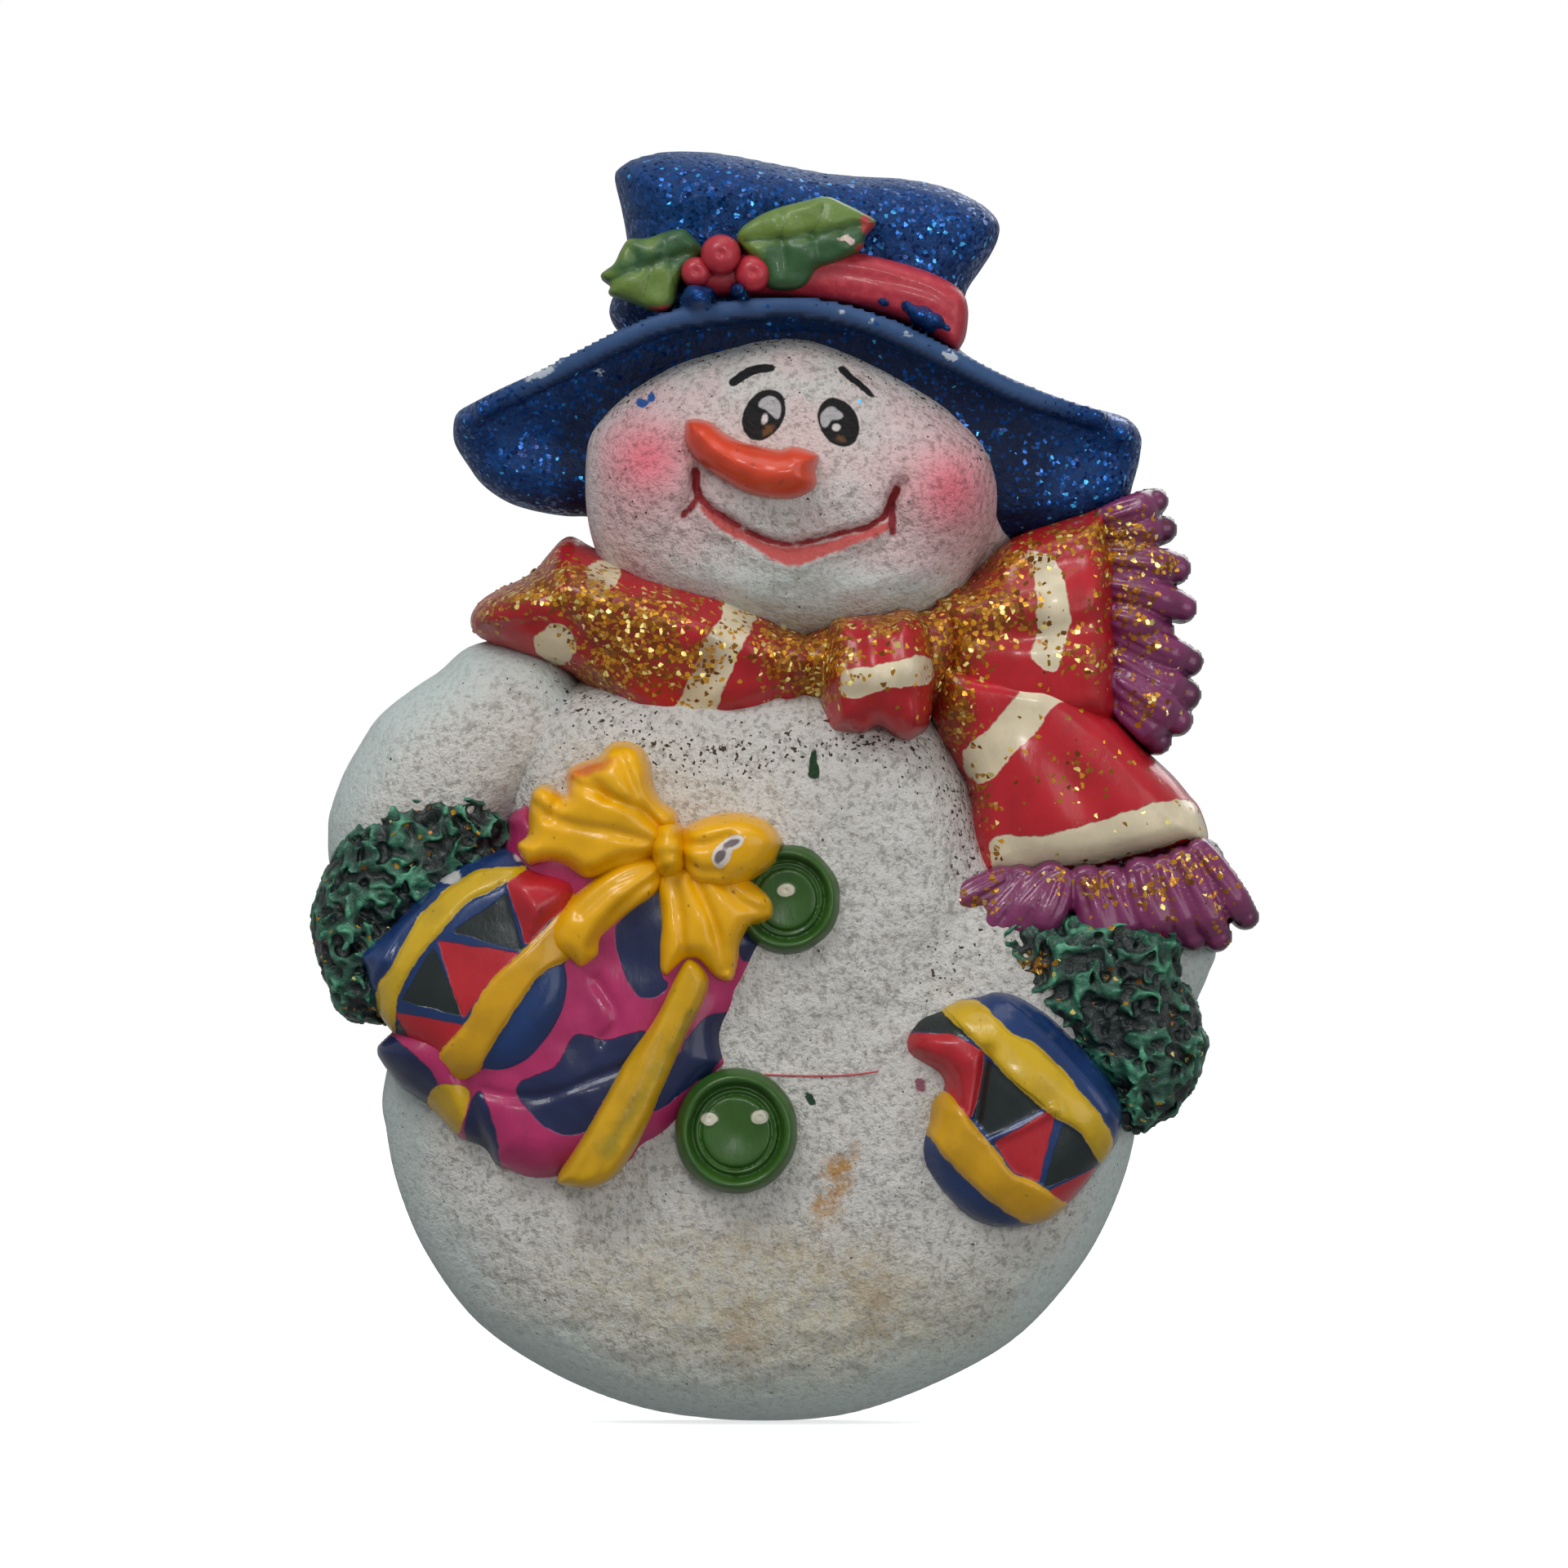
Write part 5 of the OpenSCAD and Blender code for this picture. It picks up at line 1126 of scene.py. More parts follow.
def make_scarf():
    """Wrap, knot and the two tails."""
    made = []
    cream, red = ink(228, 214, 182), ink(182, 28, 38)
    coat = [("stripe", cream, 0.05, 0.22)]

    clay = Clay(curve(WRAP), SCARF_TOP + 1.2)
    x, z = clay.x, clay.z
    top = clay.dome(3.4, SCARF_TOP - 0.6, 2.6, 0.75)
    top = top + groove(clay, WRAP_FOLD, 1.3, -0.75) + groove(clay, WRAP_CREASE, 0.7, 0.5)
    for points in ([(0.2, 15.4), (0.6, 13.4), (1.4, 11.4), (1.4, 10)], [(1.5, 15), (2, 13), (2.1, 11)],
                   [(-1, 14.8), (-0.4, 12.6), (0.2, 10.4)], [(-13, 18.4), (-12.4, 16.6), (-11, 15)],
                   [(6.2, 15.9), (6, 15), (6.2, 14)]):
        top = top + groove(clay, points, 0.4, 0.35)
    field = clay.solid(top) + rough(clay, 1.7, 0.16, 53) + rough(clay, 0.7, 0.05, 54)
    paints = {"stripe": areas(clay, WRAP_STRIPES), "gold": gold_field(clay)}
    look = enamel("scarf_wrap_paint", red, coat, gold=True, back=True, rough=0.3, shade=0.7)
    made.append(build("scarf_wrap_cloth", clay, field, paints, look, ["scarf_wrap"]))

    clay = Clay(curve(KNOT), 13.4, back=5.5, cell=SHARP)
    x, z = clay.x, clay.z
    top = clay.dome(8, 12, 1.7, 0.75)
    pleats = 0.32 * np.cos((x + 0.12 * (z - 12)) * 3.3 + 0.8)
    top = top + pleats * inner(clay, 0.1, 1) * (0.4 + 0.6 * ease(1.2, 3.4, np.abs(z - 12.4)))
    top = top + groove(clay, [(2.6, 12.2), (5, 12.2), (8.6, 12.5)], 0.9, -0.4)
    field = clay.solid(top) + rough(clay, 1.1, 0.1, 63)
    paints = {"stripe": area(clay, KNOT_STRIPE), "gold": gold_field(clay)}
    look = enamel("scarf_knot_paint", red, coat, gold=True, rough=0.28, shade=0.72)
    made.append(build("scarf_knot_cloth", clay, field, paints, look, ["scarf_knot"]))

    clay = Clay(curve(TAIL_UPPER), 10.4)
    x, z = clay.x, clay.z
    top = clay.dome(3, 8.6, 2, 0.8) + 1.1 * bump(x, z, (9.5, 15.5), (3, 2.4))
    for points in ([(10, 17), (12.5, 17.4), (15.5, 18.6), (18, 19.6)],
                   [(10, 14.6), (13, 14.4), (16, 14.6), (18.6, 15)]):
        top = top + groove(clay, points, 0.9, 0.45)
    field = clay.solid(top) + rough(clay, 1.7, 0.14, 73) + rough(clay, 0.7, 0.04, 74)
    paints = {"stripe": area(clay, UPPER_STRIPE), "gold": gold_field(clay)}
    look = enamel("scarf_upper_paint", ink(188, 28, 38), coat, gold=True, back=True, rough=0.28, shade=0.72)
    made.append(build("scarf_upper_cloth", clay, field, paints, look, ["scarf_tail_upper"]))

    clay = Clay(curve(TAIL_LOWER), 11)
    x, z = clay.x, clay.z
    top = clay.dome(3.4, 8.3, 1.8, 0.85) + 1.3 * bump(x, z, (11, 12), (3.5, 2.4))
    top = top + 0.3 * bump(x, z, (14, 8), (2, 3)) - 0.5 * bump(x, z, (18, 2), (8, 1.2))
    top = top + groove(clay, [(11.5, 12.2), (14.5, 8.4), (18, 4.4)], 1.2, 0.35)
    top = top + groove(clay, [(10.2, 9.4), (11.8, 6.2), (13.2, 2.6)], 0.9, 0.3)
    field = clay.solid(top) + rough(clay, 1.9, 0.12, 83)
    paints = {"stripe": areas(clay, LOWER_STRIPES), "gold": gold_field(clay)}
    look = enamel("scarf_lower_paint", ink(192, 31, 43), coat, gold=True, back=True, rough=0.24, shade=0.76)
    made.append(build("scarf_lower_cloth", clay, field, paints, look, ["scarf_tail_lower"]))
    return made


def make_fringe(name, strands, roots, node, back, base, crown, seed):
    """Curved strands side by side, each a rounded petal that narrows to its root, over a filled web."""
    corners = [p for a, b, w in strands for p in (a, b, (b[0] + w, b[1] + w), (b[0] - w, b[1] - w))]
    clay = Clay(np.array(corners + roots), crown + 1.6, back=back, cell=SHARP)
    x, z = clay.x, clay.z
    web = area(clay, roots)
    side = web.copy()
    top = np.where(web < 0, base + (crown - base) * 0.35, base)
    rng = np.random.default_rng(seed)
    for start, end, width in strands:
        mid = (np.array(start) + end) / 2 + rng.uniform(-0.25, 0.25, 2)
        distance, along = line_distance(x, z, curve([start, mid, end], closed=False))
        half = width * 0.8 * (0.8 + 0.3 * np.sin(np.pi * np.clip(along * 0.8 + 0.1, 0, 1)))
        side = soft_min(side, distance - half, 0.12)
        arch = np.sqrt(np.clip(1 - (distance / half) ** 2, 0, 1))
        lift = (crown - 1.1 + rng.uniform(-0.25, 0.25) - 0.6 * ease(0.7, 1.0, along)
                + 0.35 * np.sin(np.pi * along))
        strand = (lift + 1.15 * arch
                  - 0.22 * np.exp(-((distance - half * 0.35) / 0.14) ** 2) * ease(0.9, 0.2, along))
        top = np.where(distance < half * 1.02, np.maximum(top, strand), top)
    clay.side = side
    field = clay.solid(top, 0.25) + rough(clay, 0.9, 0.05, seed)
    paints = {"gold": gold_field(clay), "deep": np.clip(crown - top, -1, 3)}
    look = Look(name + "_paint")
    colour = look.mix(look.noise(1.1, 4, 0.6, 3, (1, 1, 0.5)), ink(104, 32, 74), ink(138, 54, 106))
    # Painted shade: the fringe darkens where its surface sinks below the crown, in the gaps between strands
    # and towards their tips.
    colour = look.mix(look.span(look.attribute("deep"), 0.3, 1.4), colour, ink(58, 20, 48))
    colour = glue_tint(look, colour)
    colour = with_bare_back(look, colour) if back == 0 else colour
    shader = look.paint(colour, 0.3, look.maths("MULTIPLY", look.noise(0.6, 4, 0.6, 5), 0.06), 0.8, coat=0.3)
    return build(name + "_strands", clay, field, paints, look.close(gold_over(look, shader)), [node])


def make_cuff(side, line, seed):
    clay = Clay(curve(line), CUFF_TOP + 1.6, back=3.2, cell=SHARPER)
    top = clay.dome(5, CUFF_TOP - 0.5, 2.2, 0.75)
    field = clay.solid(top)
    coarse = 1 - 2.6 * np.abs(clay.lumps(0.66, seed))
    fine = 1 - 2.6 * np.abs(clay.lumps(0.36, seed + 1))
    fur = 0.21 * coarse + 0.19 * fine
    field = field - fur * (inner(clay, -0.4, 0.3)[:, None, :] * 0.8 + 0.2)
    paints = {"gold": gold_field(clay), "tuft": 0.5 * coarse + 0.5 * fine}
    return build("cuff_" + side + "_fur", clay, field, paints, fur_green("fur_" + side), ["cuff_" + side])


def band_ridge(side, lift, width=0.25):
    """Height of a raised paint band whose area is negative inside side."""
    return lift * ease(width * 0.3, -width, side)


def make_mittens():
    navy, yellow = ink(24, 54, 106), ink(206, 168, 24)
    dark, red = ink(30, 40, 40), ink(184, 34, 45)
    made = []
    for side, line, thumb_line, bands, patches, seed in (
            ("left", MITTEN_LEFT, THUMB_LEFT, (BAND_LEFT_1, BAND_LEFT_2), TRIANGLES_LEFT, 103),
            ("right", MITTEN_RIGHT, THUMB_RIGHT, (BAND_RIGHT_1, BAND_RIGHT_2), TRIANGLES_RIGHT, 113)):
        clay = Clay(curve(line), MITTEN_TOP + 1.4, back=6, cell=SHARP)
        x, z = clay.x, clay.z
        crown = MITTEN_TOP - 0.5 if side == "left" else MITTEN_TOP - 1
        top = clay.dome(8, crown, 2.8, 0.72)
        thumb = area(clay, thumb_line)
        first, second = area(clay, bands[0]), area(clay, bands[1])
        if side == "left":
            top = top + 0.9 * ease(0.3, -1.1, thumb) + 0.35 * ease(0.4, -1.4, area(clay, TIP_LEFT))
            top = top + groove(clay, [(-17, 1.1), (-19, -1), (-21, -3.6), (-22, -6)], 0.5, 0.3)
            top = top + groove(clay, [(-18.4, 0.6), (-20.6, -2), (-22, -4.6)], 0.3, -0.3)
        else:
            top = top + 0.5 * ease(0.3, -1.2, thumb)
            top = top + groove(clay, [(11.5, -8.2), (11.2, -10), (10.9, -12)], 0.35, 0.45)
            top = top + groove(clay, [(12.6, -5.6), (15, -7.6), (17.6, -10.6), (18.4, -12)], 0.22, -0.25)
            top = top + groove(clay, [(11.6, -13.1), (13.4, -12.4), (15.2, -11.4)], 0.25, -0.25)
        top = top + band_ridge(first, 0.3) + band_ridge(second, 0.35)
        field = clay.solid(top) + rough(clay, 1.4, 0.08, seed)
        paints = {"dark": areas(clay, patches["dark"], False),
                  "red": np.minimum(areas(clay, patches["red"], False),
                                                                                thumb),
                  "band_1": first, "band_2": second}
        layers = [("dark", dark, 0.05, 0.1), ("red", red, 0.05, 0.1), ("band_1", yellow, 0.05, 0.14),
                  ("band_2", ink(212, 158, 16), 0.05, 0.14)]
        if side == "left":
            paints["chip"] = np.minimum(blob(x, z, (-17.7, 1.2), (0.6, 0.35), 10),
                                        blob(x, z, (-13.8, 2.3), (0.5, 0.25)))
            layers.append(("chip", ink(196, 196, 194), 0.06, 0.2))
        look = enamel("mitten_" + side + "_paint", navy, layers, rough=0.26, shade=0.74, spots=0.35)
        made.append(build("mitten_" + side + "_hand", clay, field, paints, look, ["mitten_" + side]))
    return made


def make_gift():
    clay = Clay(curve(GIFT), GIFT_TOP + 1.2, back=4, cell=CELL * 0.85)
    top = clay.dome(7, GIFT_TOP - 0.4, 2.6, 0.85)
    top = top + groove(clay, [(-17.2, -9.5), (-16.4, -12), (-15.4, -14.6)], 0.45, 0.5)
    top = top + groove(clay, [(-16, -10.4), (-13, -10.8), (-9, -9.4), (-6.5, -8.6)], 0.3, 0.25)
    top = top + groove(clay, [(-9.8, -4.4), (-8.6, -6.4), (-9.4, -7.6)], 0.3, 0.22)
    field = clay.solid(top) + rough(clay, 1.6, 0.16, 123) + rough(clay, 0.7, 0.04, 124)
    paints = {"navy": areas(clay, GIFT_NAVY), "side_ribbon": area(clay, GIFT_SIDE_RIBBON)}
    layers = [("navy", ink(30, 40, 82), 0.05, 0.16), ("side_ribbon", ink(208, 166, 20), 0.05, 0.1)]
    look = enamel("gift_paint", ink(180, 44, 100), layers, rough=0.28, shade=0.72, spots=0.25)
    made = [build("gift_box_wrap", clay, field, paints, look, ["gift_box"])]

    gold = ink(206, 158, 4)
    clay = Clay(curve(RIBBON), GIFT_TOP + 2, back=8, cell=SHARP)
    top = clay.dome(10.4, 12.4, 0.8, 0.85)
    for shift in (-0.55, 0.5):
        top = top + groove(clay, [(-5.2 + shift, -4), (-7.2 + shift, -9), (-10 + shift, -15)], 0.28, 0.16)
    field = clay.solid(top, 0.25) + rough(clay, 0.9, 0.05, 133)
    paints = {"shade": area(clay, [(-5, -6.5), (-7.6, -10.6), (-9.6, -13.6), (-8.8, -13.8), (-7, -10.8),
                                   (-4.6, -6.8)])}
    look = enamel("ribbon_paint", gold, [("shade", ink(168, 140, 20), 0.4, 0.5)], rough=0.3, shade=0.82,
                  spots=0.3)
    made.append(build("gift_ribbon_strip", clay, field, paints, look, ["gift_ribbon"]))
    return made


def make_bow():
    gold = ink(238, 176, 4)
    made = []
    folds = {
        "bow_loop_left": [([(-5.8, 3.4), (-7.4, 4.8), (-9.2, 5.6), (-11, 6.4)], 0.5),
                          ([(-6.2, 3.8), (-7.4, 5.4), (-8.2, 7.2), (-8.6, 8.2)], 0.35),
                          ([(-5.8, 2.9), (-8.6, 3.6), (-11.6, 4.2), (-13.4, 5.4)], 0.25),
                          ([(-5.9, 2.5), (-8, 2.3), (-10, 1.5)], 0.4),
                          ([(-10.6, 6.9), (-9.6, 6.2), (-9.2, 5.6)], 0.35),
                          ([(-12.4, 4.4), (-11.9, 5.2), (-11.6, 5.7)], 0.3)],
        "bow_loop_right": [([(-5, 3), (-3.8, 3), (-2.6, 3.4)], 0.35),
                           ([(-5, 2.2), (-4, 1.6), (-3, 1.5)], 0.3)],
        "bow_tail_left": [([(-6.4, 1.2), (-7.6, 0.4), (-8.8, -0.8), (-10, -2.6)], 0.4),
                          ([(-7, 1.6), (-9, 0.6), (-10.6, -0.8)], 0.25)],
        "bow_tail_right": [([(-5.6, 1), (-5.2, -1), (-5, -3.2)], 0.35),
                           ([(-4.4, 1), (-3.4, -1.2), (-2.8, -3.8)], 0.4),
                           ([(-3, 1), (-1.8, -0.2), (-0.6, -0.6)], 0.3)],
        "bow_knot": [([(-6.6, 2.2), (-5.8, 2.5), (-5, 2.3)], 0.2),
                     ([(-6.5, 3.4), (-5.8, 3.3), (-5, 3.4)], 0.2)],
    }
    for node, line, crown, seed in (("bow_loop_left", LOOP_LEFT, BOW_TOP - 0.3, 143),
                                    ("bow_loop_right", LOOP_RIGHT, BOW_TOP, 144),
                                    ("bow_tail_left", TAIL_LEFT, BOW_TOP - 0.7, 145),
                                    ("bow_tail_right", TAIL_RIGHT, BOW_TOP - 0.9, 146),
                                    ("bow_knot", BOW_KNOT, BOW_TOP + 0.1, 147)):
        clay = Clay(curve(line), BOW_TOP + 1.4, back=8.2, cell=SHARPER)
        x, z = clay.x, clay.z
        top = clay.dome(10.6, crown, 1.1, 0.75)
        if node == "bow_loop_left":
            top = top + 0.5 * bump(x, z, (-8.4, 6.4), (1.6, 1.8))
            top = top - 0.5 * bump(x, z, (-11.8, 3.4), (1.8, 1.8))
        if node == "bow_loop_right":
            top = top + 0.4 * bump(x, z, (-1.6, 3.4), (1.4, 1.2))
        for points, depth in folds[node]:
            top = top + groove(clay, points, 0.34, depth)
        field = clay.solid(top, 0.3) + rough(clay, 1.2, 0.09, seed) + rough(clay, 0.6, 0.03, seed + 20)
        paints = {
            "chip_ring": np.minimum(blob(x, z, (-2.9, 2.45), (0.75, 0.5), 62),
                                    blob(x, z, (-2.3, 3.1), (0.6, 0.36), 20)),
            "chip": np.minimum(blob(x, z, (-3.05, 2.3), (0.42, 0.26), 62),
                               blob(x, z, (-2.4, 3.05), (0.45, 0.17), 22)),
            "orange": blob(x, z, (-10.2, 7.1), (1.3, 0.3), 18),
        }
        layers = [("orange", ink(216, 110, 30), 0.25, 0.3), ("chip_ring", ink(226, 216, 208), 0.04, 0.12),
                  ("chip", ink(118, 106, 106), 0.05, 0.14)]
        look = enamel(node + "_paint", gold, layers, rough=0.26, streak=0.05, shade=0.84, spots=0.5)
        made.append(build(node + "_fold", clay, field, paints, look, [node]))
    return made


def make_buttons():
    made = []
    for node, (centre, radius, holes) in BUTTONS.items():
        angles = np.linspace(0, 2 * np.pi, 48, endpoint=False)
        ring = np.stack([centre[0] + radius * 0.97 * np.cos(angles), centre[1] + radius * np.sin(angles)], 1)
        clay = Clay(ring, 12.6, back=8, cell=CELL * 0.55)
        x, z = clay.x, clay.z
        reach = np.hypot((x - centre[0]) / 0.97, z - centre[1])
        base = 10.7 if node == "button_upper" else 10.9
        top = base + 0.55 * np.exp(-((reach - radius * 0.86) / 0.36) ** 2)
        top = top - 0.3 * ease(radius * 0.8, radius, reach)
        top = top - 0.4 * np.exp(-((reach - radius * 0.71) / 0.15) ** 2)
        top = top - 0.26 * np.exp(-((reach - radius * 0.59) / 0.11) ** 2)
        top = top - 0.16 * ease(radius * 0.6, 0, reach)
        dots = np.minimum.reduce([blob(x, z, hole, (0.5, 0.36), 10) for hole in holes])
        top = top + 0.1 * ease(0.1, -0.25, dots)
        for hole in holes:
            top = top - 0.16 * np.exp(-(((x - hole[0]) ** 2 + (z - hole[1]) ** 2) / 0.1 ** 2))
        field = clay.solid(top, 0.3) + rough(clay, 0.9, 0.04, 153)
        look = enamel(node + "_paint", ink(50, 92, 28), [("dots", ink(216, 212, 190), 0.05, 0.1)], rough=0.3,
                      shade=0.72, spots=0.15)
        made.append(build(node + "_disc", clay, field, {"dots": dots}, look, [node]))
    return made


def make_magnet():
    """Round magnet with a small bevel, in its pocket in the back."""
    profile = [(0, 0), (MAGNET_R - 0.3, 0), (MAGNET_R, 0.3), (MAGNET_R, MAGNET_T - 0.3),
               (MAGNET_R - 0.3, MAGNET_T),
               (0, MAGNET_T)]
    count = 96
    angles = np.arange(count) * 2 * np.pi / count
    points = [(0, -profile[0][1] * MM, 0)]
    for r, d in profile[1:-1]:
        points += [(r * math.cos(a) * MM, -d * MM, r * math.sin(a) * MM) for a in angles]
    points.append((0, -profile[-1][1] * MM, 0))
    faces = [(0, 1 + (i + 1) % count, 1 + i) for i in range(count)]
    for k in range(len(profile) - 3):
        for i in range(count):
            a, b = 1 + k * count + i, 1 + k * count + (i + 1) % count
            faces.append((a, b, b + count, a + count))
    last = 1 + (len(profile) - 3) * count
    faces += [(len(points) - 1, last + i, last + (i + 1) % count) for i in range(count)]
    mesh = bpy.data.meshes.new("magnet_disc")
    mesh.from_pydata(points, [], faces)
    mesh.materials.append(plain("ferrite_grey", ink(52, 52, 55), 0.6, ink(66, 66, 68), relief=0.05))
    settle("magnet_disc", mesh, ["magnet"])


# ---------------------------------------------------------------- loose glitter

def scatter(name, pieces, weigh, count, sizes, lean, look, seed, fixed=()):
    """Small hexagonal flakes stuck on the front of the pieces, as one mesh. weigh gives the chance at each
    point, and fixed lists places that each get one larger flake."""
    rng = np.random.default_rng(seed)
    spots, facing, chances = [], [], []
    for piece in pieces:
        mesh = piece.data
        co = np.empty(len(mesh.vertices) * 3)
        no = np.empty(len(mesh.vertices) * 3)
        mesh.vertices.foreach_get("co", co)
        mesh.vertex_normals.foreach_get("vector", no)
        co, no = co.reshape(-1, 3) / MM, no.reshape(-1, 3)
        spots.append(co)
        facing.append(no)
        chances.append(weigh(piece, co) * (no[:, 1] < -0.15))
    spots, facing, chances = np.concatenate(spots), np.concatenate(facing), np.concatenate(chances)
    pick = rng.choice(len(spots), count, p=chances / chances.sum())
    wide = rng.uniform(*sizes, count)
    for x, z in fixed:
        pick = np.append(pick, np.argmin(np.hypot(spots[:, 0] - x, spots[:, 2] - z) + 0.02 * spots[:, 1]))
        wide = np.append(wide, sizes[1] * 1.4)
    count = len(pick)
    normal = facing[pick] + rng.normal(0, lean, (count, 3))
    normal /= np.linalg.norm(normal, axis=1)[:, None]
    side = np.cross(normal, rng.normal(0, 1, (count, 3)))
    side /= np.linalg.norm(side, axis=1)[:, None]
    other = np.cross(normal, side)
    middle = spots[pick] + facing[pick] * 0.04 + side * rng.uniform(-0.1, 0.1, (count, 1))
    turns = np.arange(6) * np.pi / 3
    rim = (side[:, None] * np.cos(turns)[None, :, None] + other[:, None] * np.sin(turns)[None, :, None])
    rim = rim * (wide / 2)[:, None, None]
    thick = normal[:, None] * 0.02
    points = np.concatenate([middle[:, None] + rim - thick, middle[:, None] + rim + thick], 1)
    points = points.reshape(-1, 3) * MM
    first = (np.arange(count) * 12)[:, None]
    ring = np.arange(6)
    caps = np.concatenate([first + ring[::-1], first + 6 + ring], 0)
    walls = np.stack([ring, np.roll(ring, -1), np.roll(ring, -1) + 6, ring + 6], 1)
    walls = (first[:, :, None] + walls[None]).reshape(-1, 4)
    mesh = bpy.data.meshes.new(name)
    mesh.from_pydata(points.tolist(), [], caps.tolist() + walls.tolist())
    tone = mesh.attributes.new("tone", "FLOAT", "POINT")
    tone.data.foreach_set("value", np.repeat(rng.uniform(0, 1, count), 12).astype(np.float32))
    mesh.materials.append(look)
    settle(name, mesh)


def stored(piece, key):
    """A float attribute of a piece's points."""
    out = np.empty(len(piece.data.vertices), np.float32)
    piece.data.attributes[key].data.foreach_get("value", out)
    return out


def gold_chance(piece, co):
    return np.maximum(stored(piece, "gold"), 0.004) ** 1.1


def blue_chance(piece, co):
    return np.maximum(1.0 - stored(piece, "smooth") - 0.6 * stored(piece, "under"), 0.02)


def pearl_chance(piece, co):
    x, z = co[:, 0], co[:, 2]
    return spread(x, z, [(0, 18, 8, 1.4, 1), (-14.5, -15.5, 2.2, 2.5, 0.8), (11, -19.5, 3, 2.2, 1),
                         (1, -20.6, 7, 1.8, 0.5), (-19, 8, 3, 3, 0.25), (-8, -18, 6, 3, 0.25),
                         (9, -23, 4, 1.5, 0.5), (0, -16, 30, 12, 0.03)])


def stray_chance(piece, co):
    return np.full(len(co), 1.0)


def speck_chance(piece, co):
    x, z = co[:, 0], co[:, 2]
    return spread(x, z, [(8.7, -4.5, 1.6, 1.6, 1), (2, 7.6, 8, 0.8, 0.7), (-4, 6.8, 6, 1.5, 0.3),
                         (0, -15, 12, 6, 0.04), (11, 24.6, 1, 1.4, 0.6), (-8, 7, 6, 3, 0.15),
                         (10, 3, 2, 4, 0.3)])


def make_thread(under):
    """Loose red thread that lies on the belly."""
    co = np.empty(len(under.data.vertices) * 3)
    under.data.vertices.foreach_get("co", co)
    co = co.reshape(-1, 3) / MM
    line = curve([(-1.5, -9.55), (2, -9.65), (4, -9.6), (5.6, -9.4)], closed=False)
    radius, sides = 0.055, 6
    turns = np.arange(sides) * 2 * np.pi / sides
    points = []
    for x, z in line:
        near = co[np.hypot(co[:, 0] - x, co[:, 2] - z) < 0.35]
        y = near[:, 1].min() - radius * 0.5
        points += [(x * MM, (y + radius * math.cos(a)) * MM, (z + radius * math.sin(a)) * MM) for a in turns]
    last = len(points) - sides
    faces = [tuple(range(sides)), tuple(range(last + sides - 1, last - 1, -1))]
    for k in range(len(line) - 1):
        for i in range(sides):
            a, b = k * sides + i, k * sides + (i + 1) % sides
            faces.append((a, a + sides, b + sides, b))
    mesh = bpy.data.meshes.new("thread")
    mesh.from_pydata(points, [], faces)
    mesh.materials.append(plain("thread_red", ink(190, 70, 80), 0.6))
    settle("thread", mesh)


# ---------------------------------------------------------------- scene

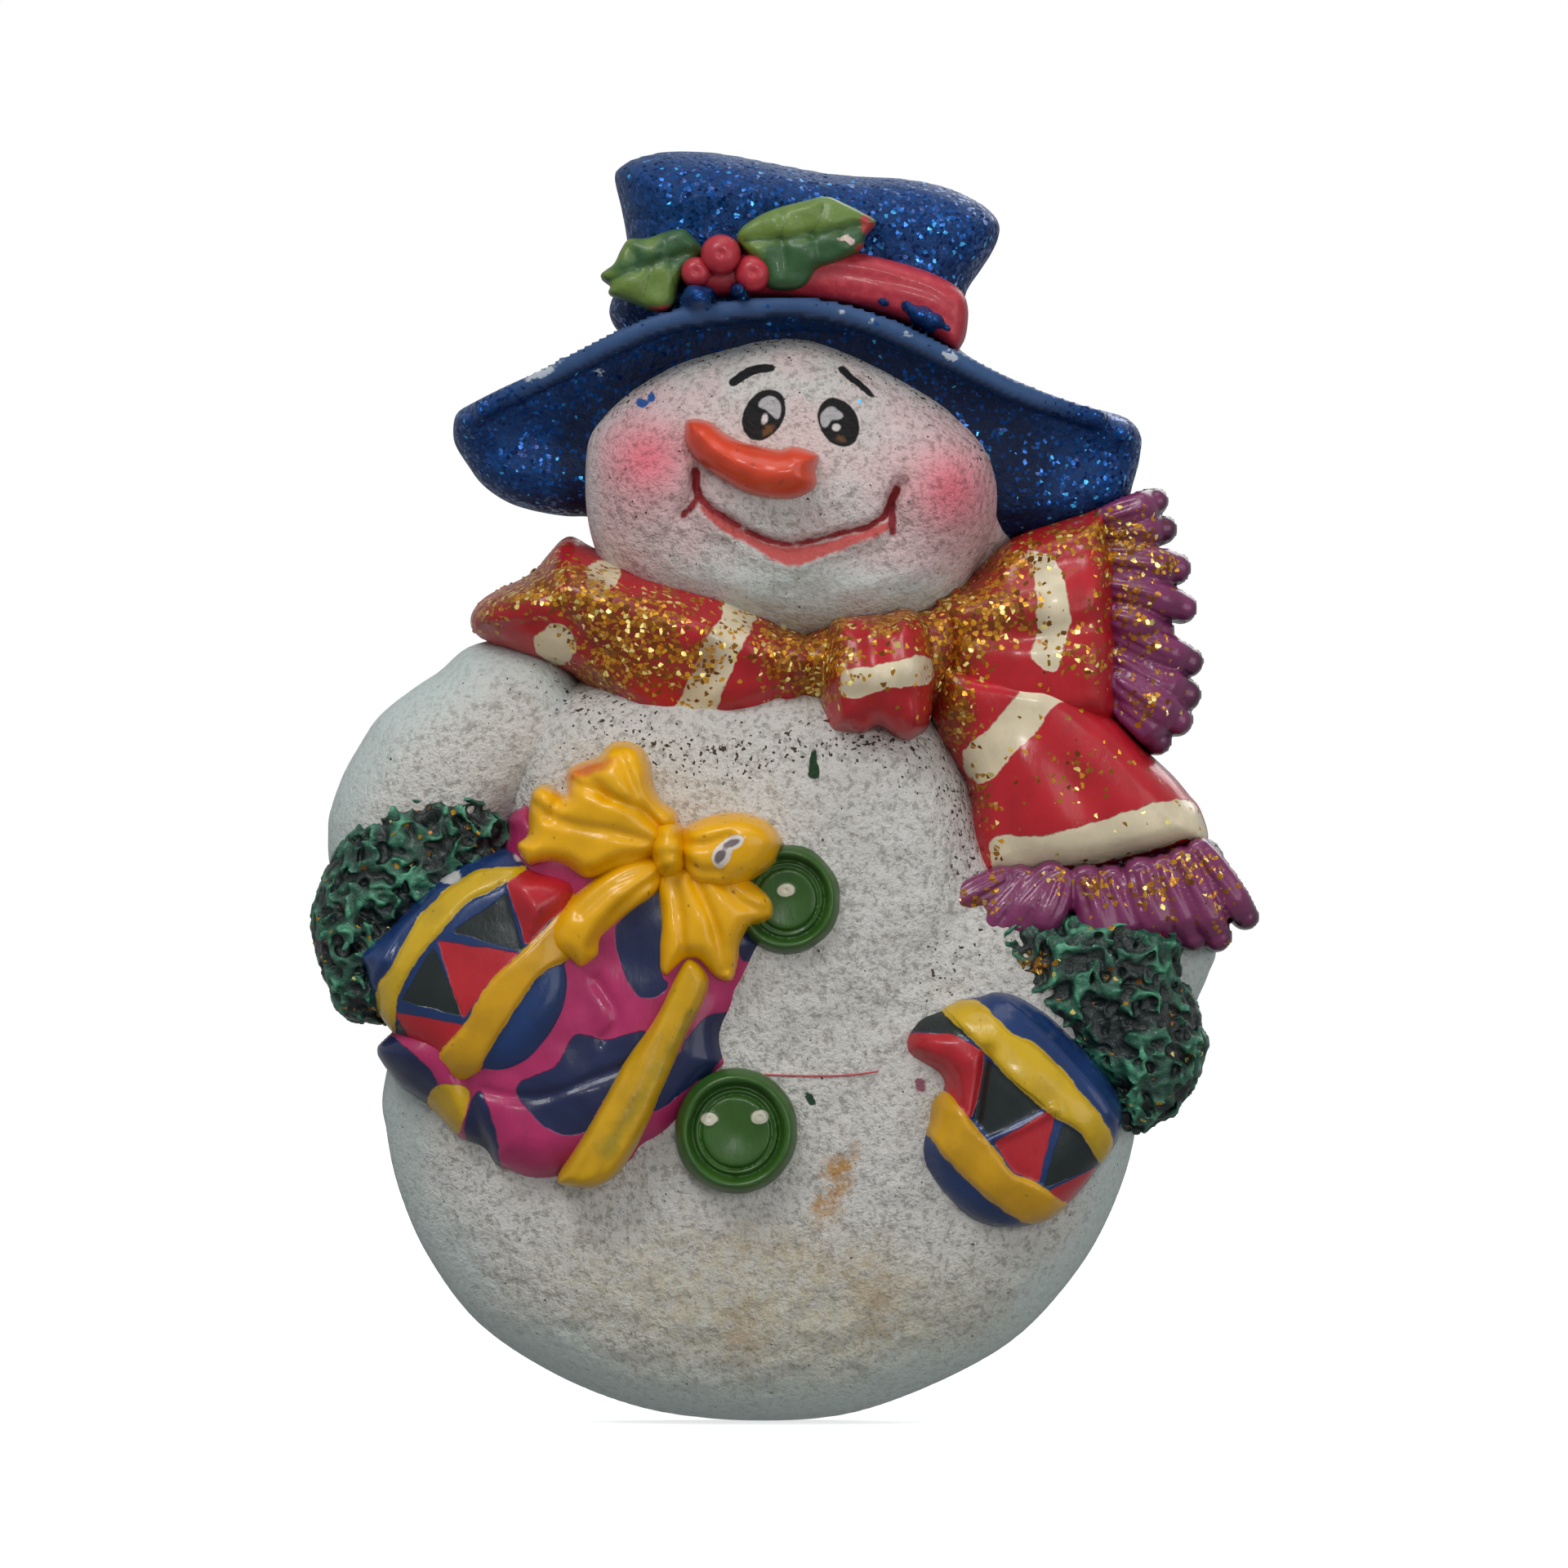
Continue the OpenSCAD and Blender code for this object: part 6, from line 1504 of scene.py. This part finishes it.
def make_stage():
    """Pale floor under the ornament, a bright surround, and soft studio lights."""
    bpy.ops.mesh.primitive_plane_add(size=1.2, location=(0, 0, cad_box[0][2]))
    floor = bpy.context.object
    floor.name = "floor"
    white = bpy.data.materials.new("floor_white")
    white.use_nodes = True
    paint = white.node_tree.nodes["Principled BSDF"]
    paint.inputs["Base Color"].default_value = (0.9, 0.9, 0.9, 1)
    paint.inputs["Roughness"].default_value = 0.9
    paint.inputs["Emission Color"].default_value = (1, 1, 1, 1)
    paint.inputs["Emission Strength"].default_value = 0.62
    floor.data.materials.append(white)
    floor.visible_diffuse = False
    floor.visible_glossy = False

    world = bpy.data.worlds.new("studio")
    bpy.context.scene.world = world
    world.use_nodes = True
    tree = world.node_tree
    tree.nodes.clear()
    seen = tree.nodes.new("ShaderNodeBackground")
    seen.inputs["Color"].default_value = (1, 1, 1, 1)
    seen.inputs["Strength"].default_value = 1.0
    light = tree.nodes.new("ShaderNodeBackground")
    light.inputs["Color"].default_value = (0.97, 0.985, 1, 1)
    heading = tree.nodes.new("ShaderNodeTexCoord")
    axes = tree.nodes.new("ShaderNodeSeparateXYZ")
    dimmer = tree.nodes.new("ShaderNodeMapRange")
    for key, number in (("From Min", -0.8), ("From Max", 0.8), ("To Min", 0.27), ("To Max", 0.42)):
        dimmer.inputs[key].default_value = number
    tree.links.new(heading.outputs["Generated"], axes.inputs[0])
    tree.links.new(axes.outputs["Z"], dimmer.inputs["Value"])
    tree.links.new(dimmer.outputs["Result"], light.inputs["Strength"])
    path = tree.nodes.new("ShaderNodeLightPath")
    mix = tree.nodes.new("ShaderNodeMixShader")
    out = tree.nodes.new("ShaderNodeOutputWorld")
    tree.links.new(path.outputs["Is Camera Ray"], mix.inputs[0])
    tree.links.new(light.outputs[0], mix.inputs[1])
    tree.links.new(seen.outputs[0], mix.inputs[2])
    tree.links.new(mix.outputs[0], out.inputs["Surface"])

    for name, place, size, power in (("key", (-0.2, -0.4, 0.46), 0.24, 1.5),
                                     ("fill", (0.42, -0.42, 0.02), 0.4, 0.75),
                                     ("top", (0.05, -0.1, 0.5), 0.3, 0.4),
                                     ("spark", (0.06, -0.55, 0.16), 0.05, 0.3),
                                     ("rear", (0.2, 0.5, 0.35), 0.4, 1.0)):
        lamp = bpy.data.lights.new(name, "AREA")
        lamp.energy = power
        lamp.size = size
        holder = bpy.data.objects.new(name, lamp)
        bpy.context.scene.collection.objects.link(holder)
        holder.location = place
        aim = holder.location.copy()
        aim.x, aim.y, aim.z = -place[0], -place[1], 0.006 - place[2]
        holder.rotation_euler = aim.to_track_quat("-Z", "Y").to_euler()

    scene = bpy.context.scene
    scene.view_settings.view_transform = "Standard"
    lens = bpy.data.cameras.new("camera")
    lens.lens = 250
    lens.sensor_width = 36
    lens.clip_end = 10
    camera = bpy.data.objects.new("camera", lens)
    scene.collection.objects.link(camera)
    camera.location = (0.448 * MM, -0.6035, 6.274 * MM)
    camera.rotation_euler = (math.pi / 2, 0, 0)
    scene.camera = camera


make_stage()
body = make_body()
arm_left = make_arm("arm_left_shell", ARM_LEFT, "arm_left", 8.2)
make_arm("arm_right_shell", ARM_RIGHT, "arm_right", 6.2)
head = make_head()
make_nose()
brim, crown = make_hat()
make_band()
make_holly()
scarf = make_scarf()
upper_fringe = make_fringe("fringe_upper", UPPER_STRANDS, UPPER_ROOTS, "fringe_upper", 0, 2.6, 6.6, 93)
lower_fringe = make_fringe("fringe_lower", LOWER_STRANDS, LOWER_ROOTS, "fringe_lower", 3, 4.6, 8.0, 94)
make_cuff("left", CUFF_LEFT, 203)
cuff_right = make_cuff("right", CUFF_RIGHT, 213)
make_mittens()
make_gift()
make_bow()
make_buttons()
make_magnet()

gold_foil = foil("gold_foil", ink(112, 68, 10), ink(240, 180, 44), ink(255, 244, 170))
blue_foil = foil("blue_foil", ink(12, 60, 140), ink(30, 120, 210), ink(110, 220, 255))
pearl_foil = foil("pearl_foil", ink(190, 220, 190), ink(215, 230, 215), ink(190, 240, 250))
dull_foil = foil("dull_foil", ink(70, 52, 30), ink(150, 112, 40), ink(210, 170, 80))
scatter("glitter_gold", [*scarf, upper_fringe, lower_fringe, cuff_right], gold_chance, 7000, (0.15, 0.32),
        0.32,
        gold_foil, 5)
scatter("glitter_blue", [brim, crown], blue_chance, 800, (0.1, 0.2), 0.35, blue_foil, 6,
        BRIGHT_BLUE)
scatter("glitter_pearl", [body, head, arm_left], pearl_chance, 420, (0.12, 0.24), 0.3, pearl_foil,
        7)
scatter("glitter_stray", [body, head], speck_chance, 420, (0.1, 0.2), 0.25, dull_foil, 8)
scatter("glitter_stray_blue", [body, head, arm_left], stray_chance, 26, (0.12, 0.2), 0.25, blue_foil,
        9,
        [(2.5, 28), (4.4, 27.1), (-2.8, 20.7), (6.1, -14.9)])
make_thread(body)
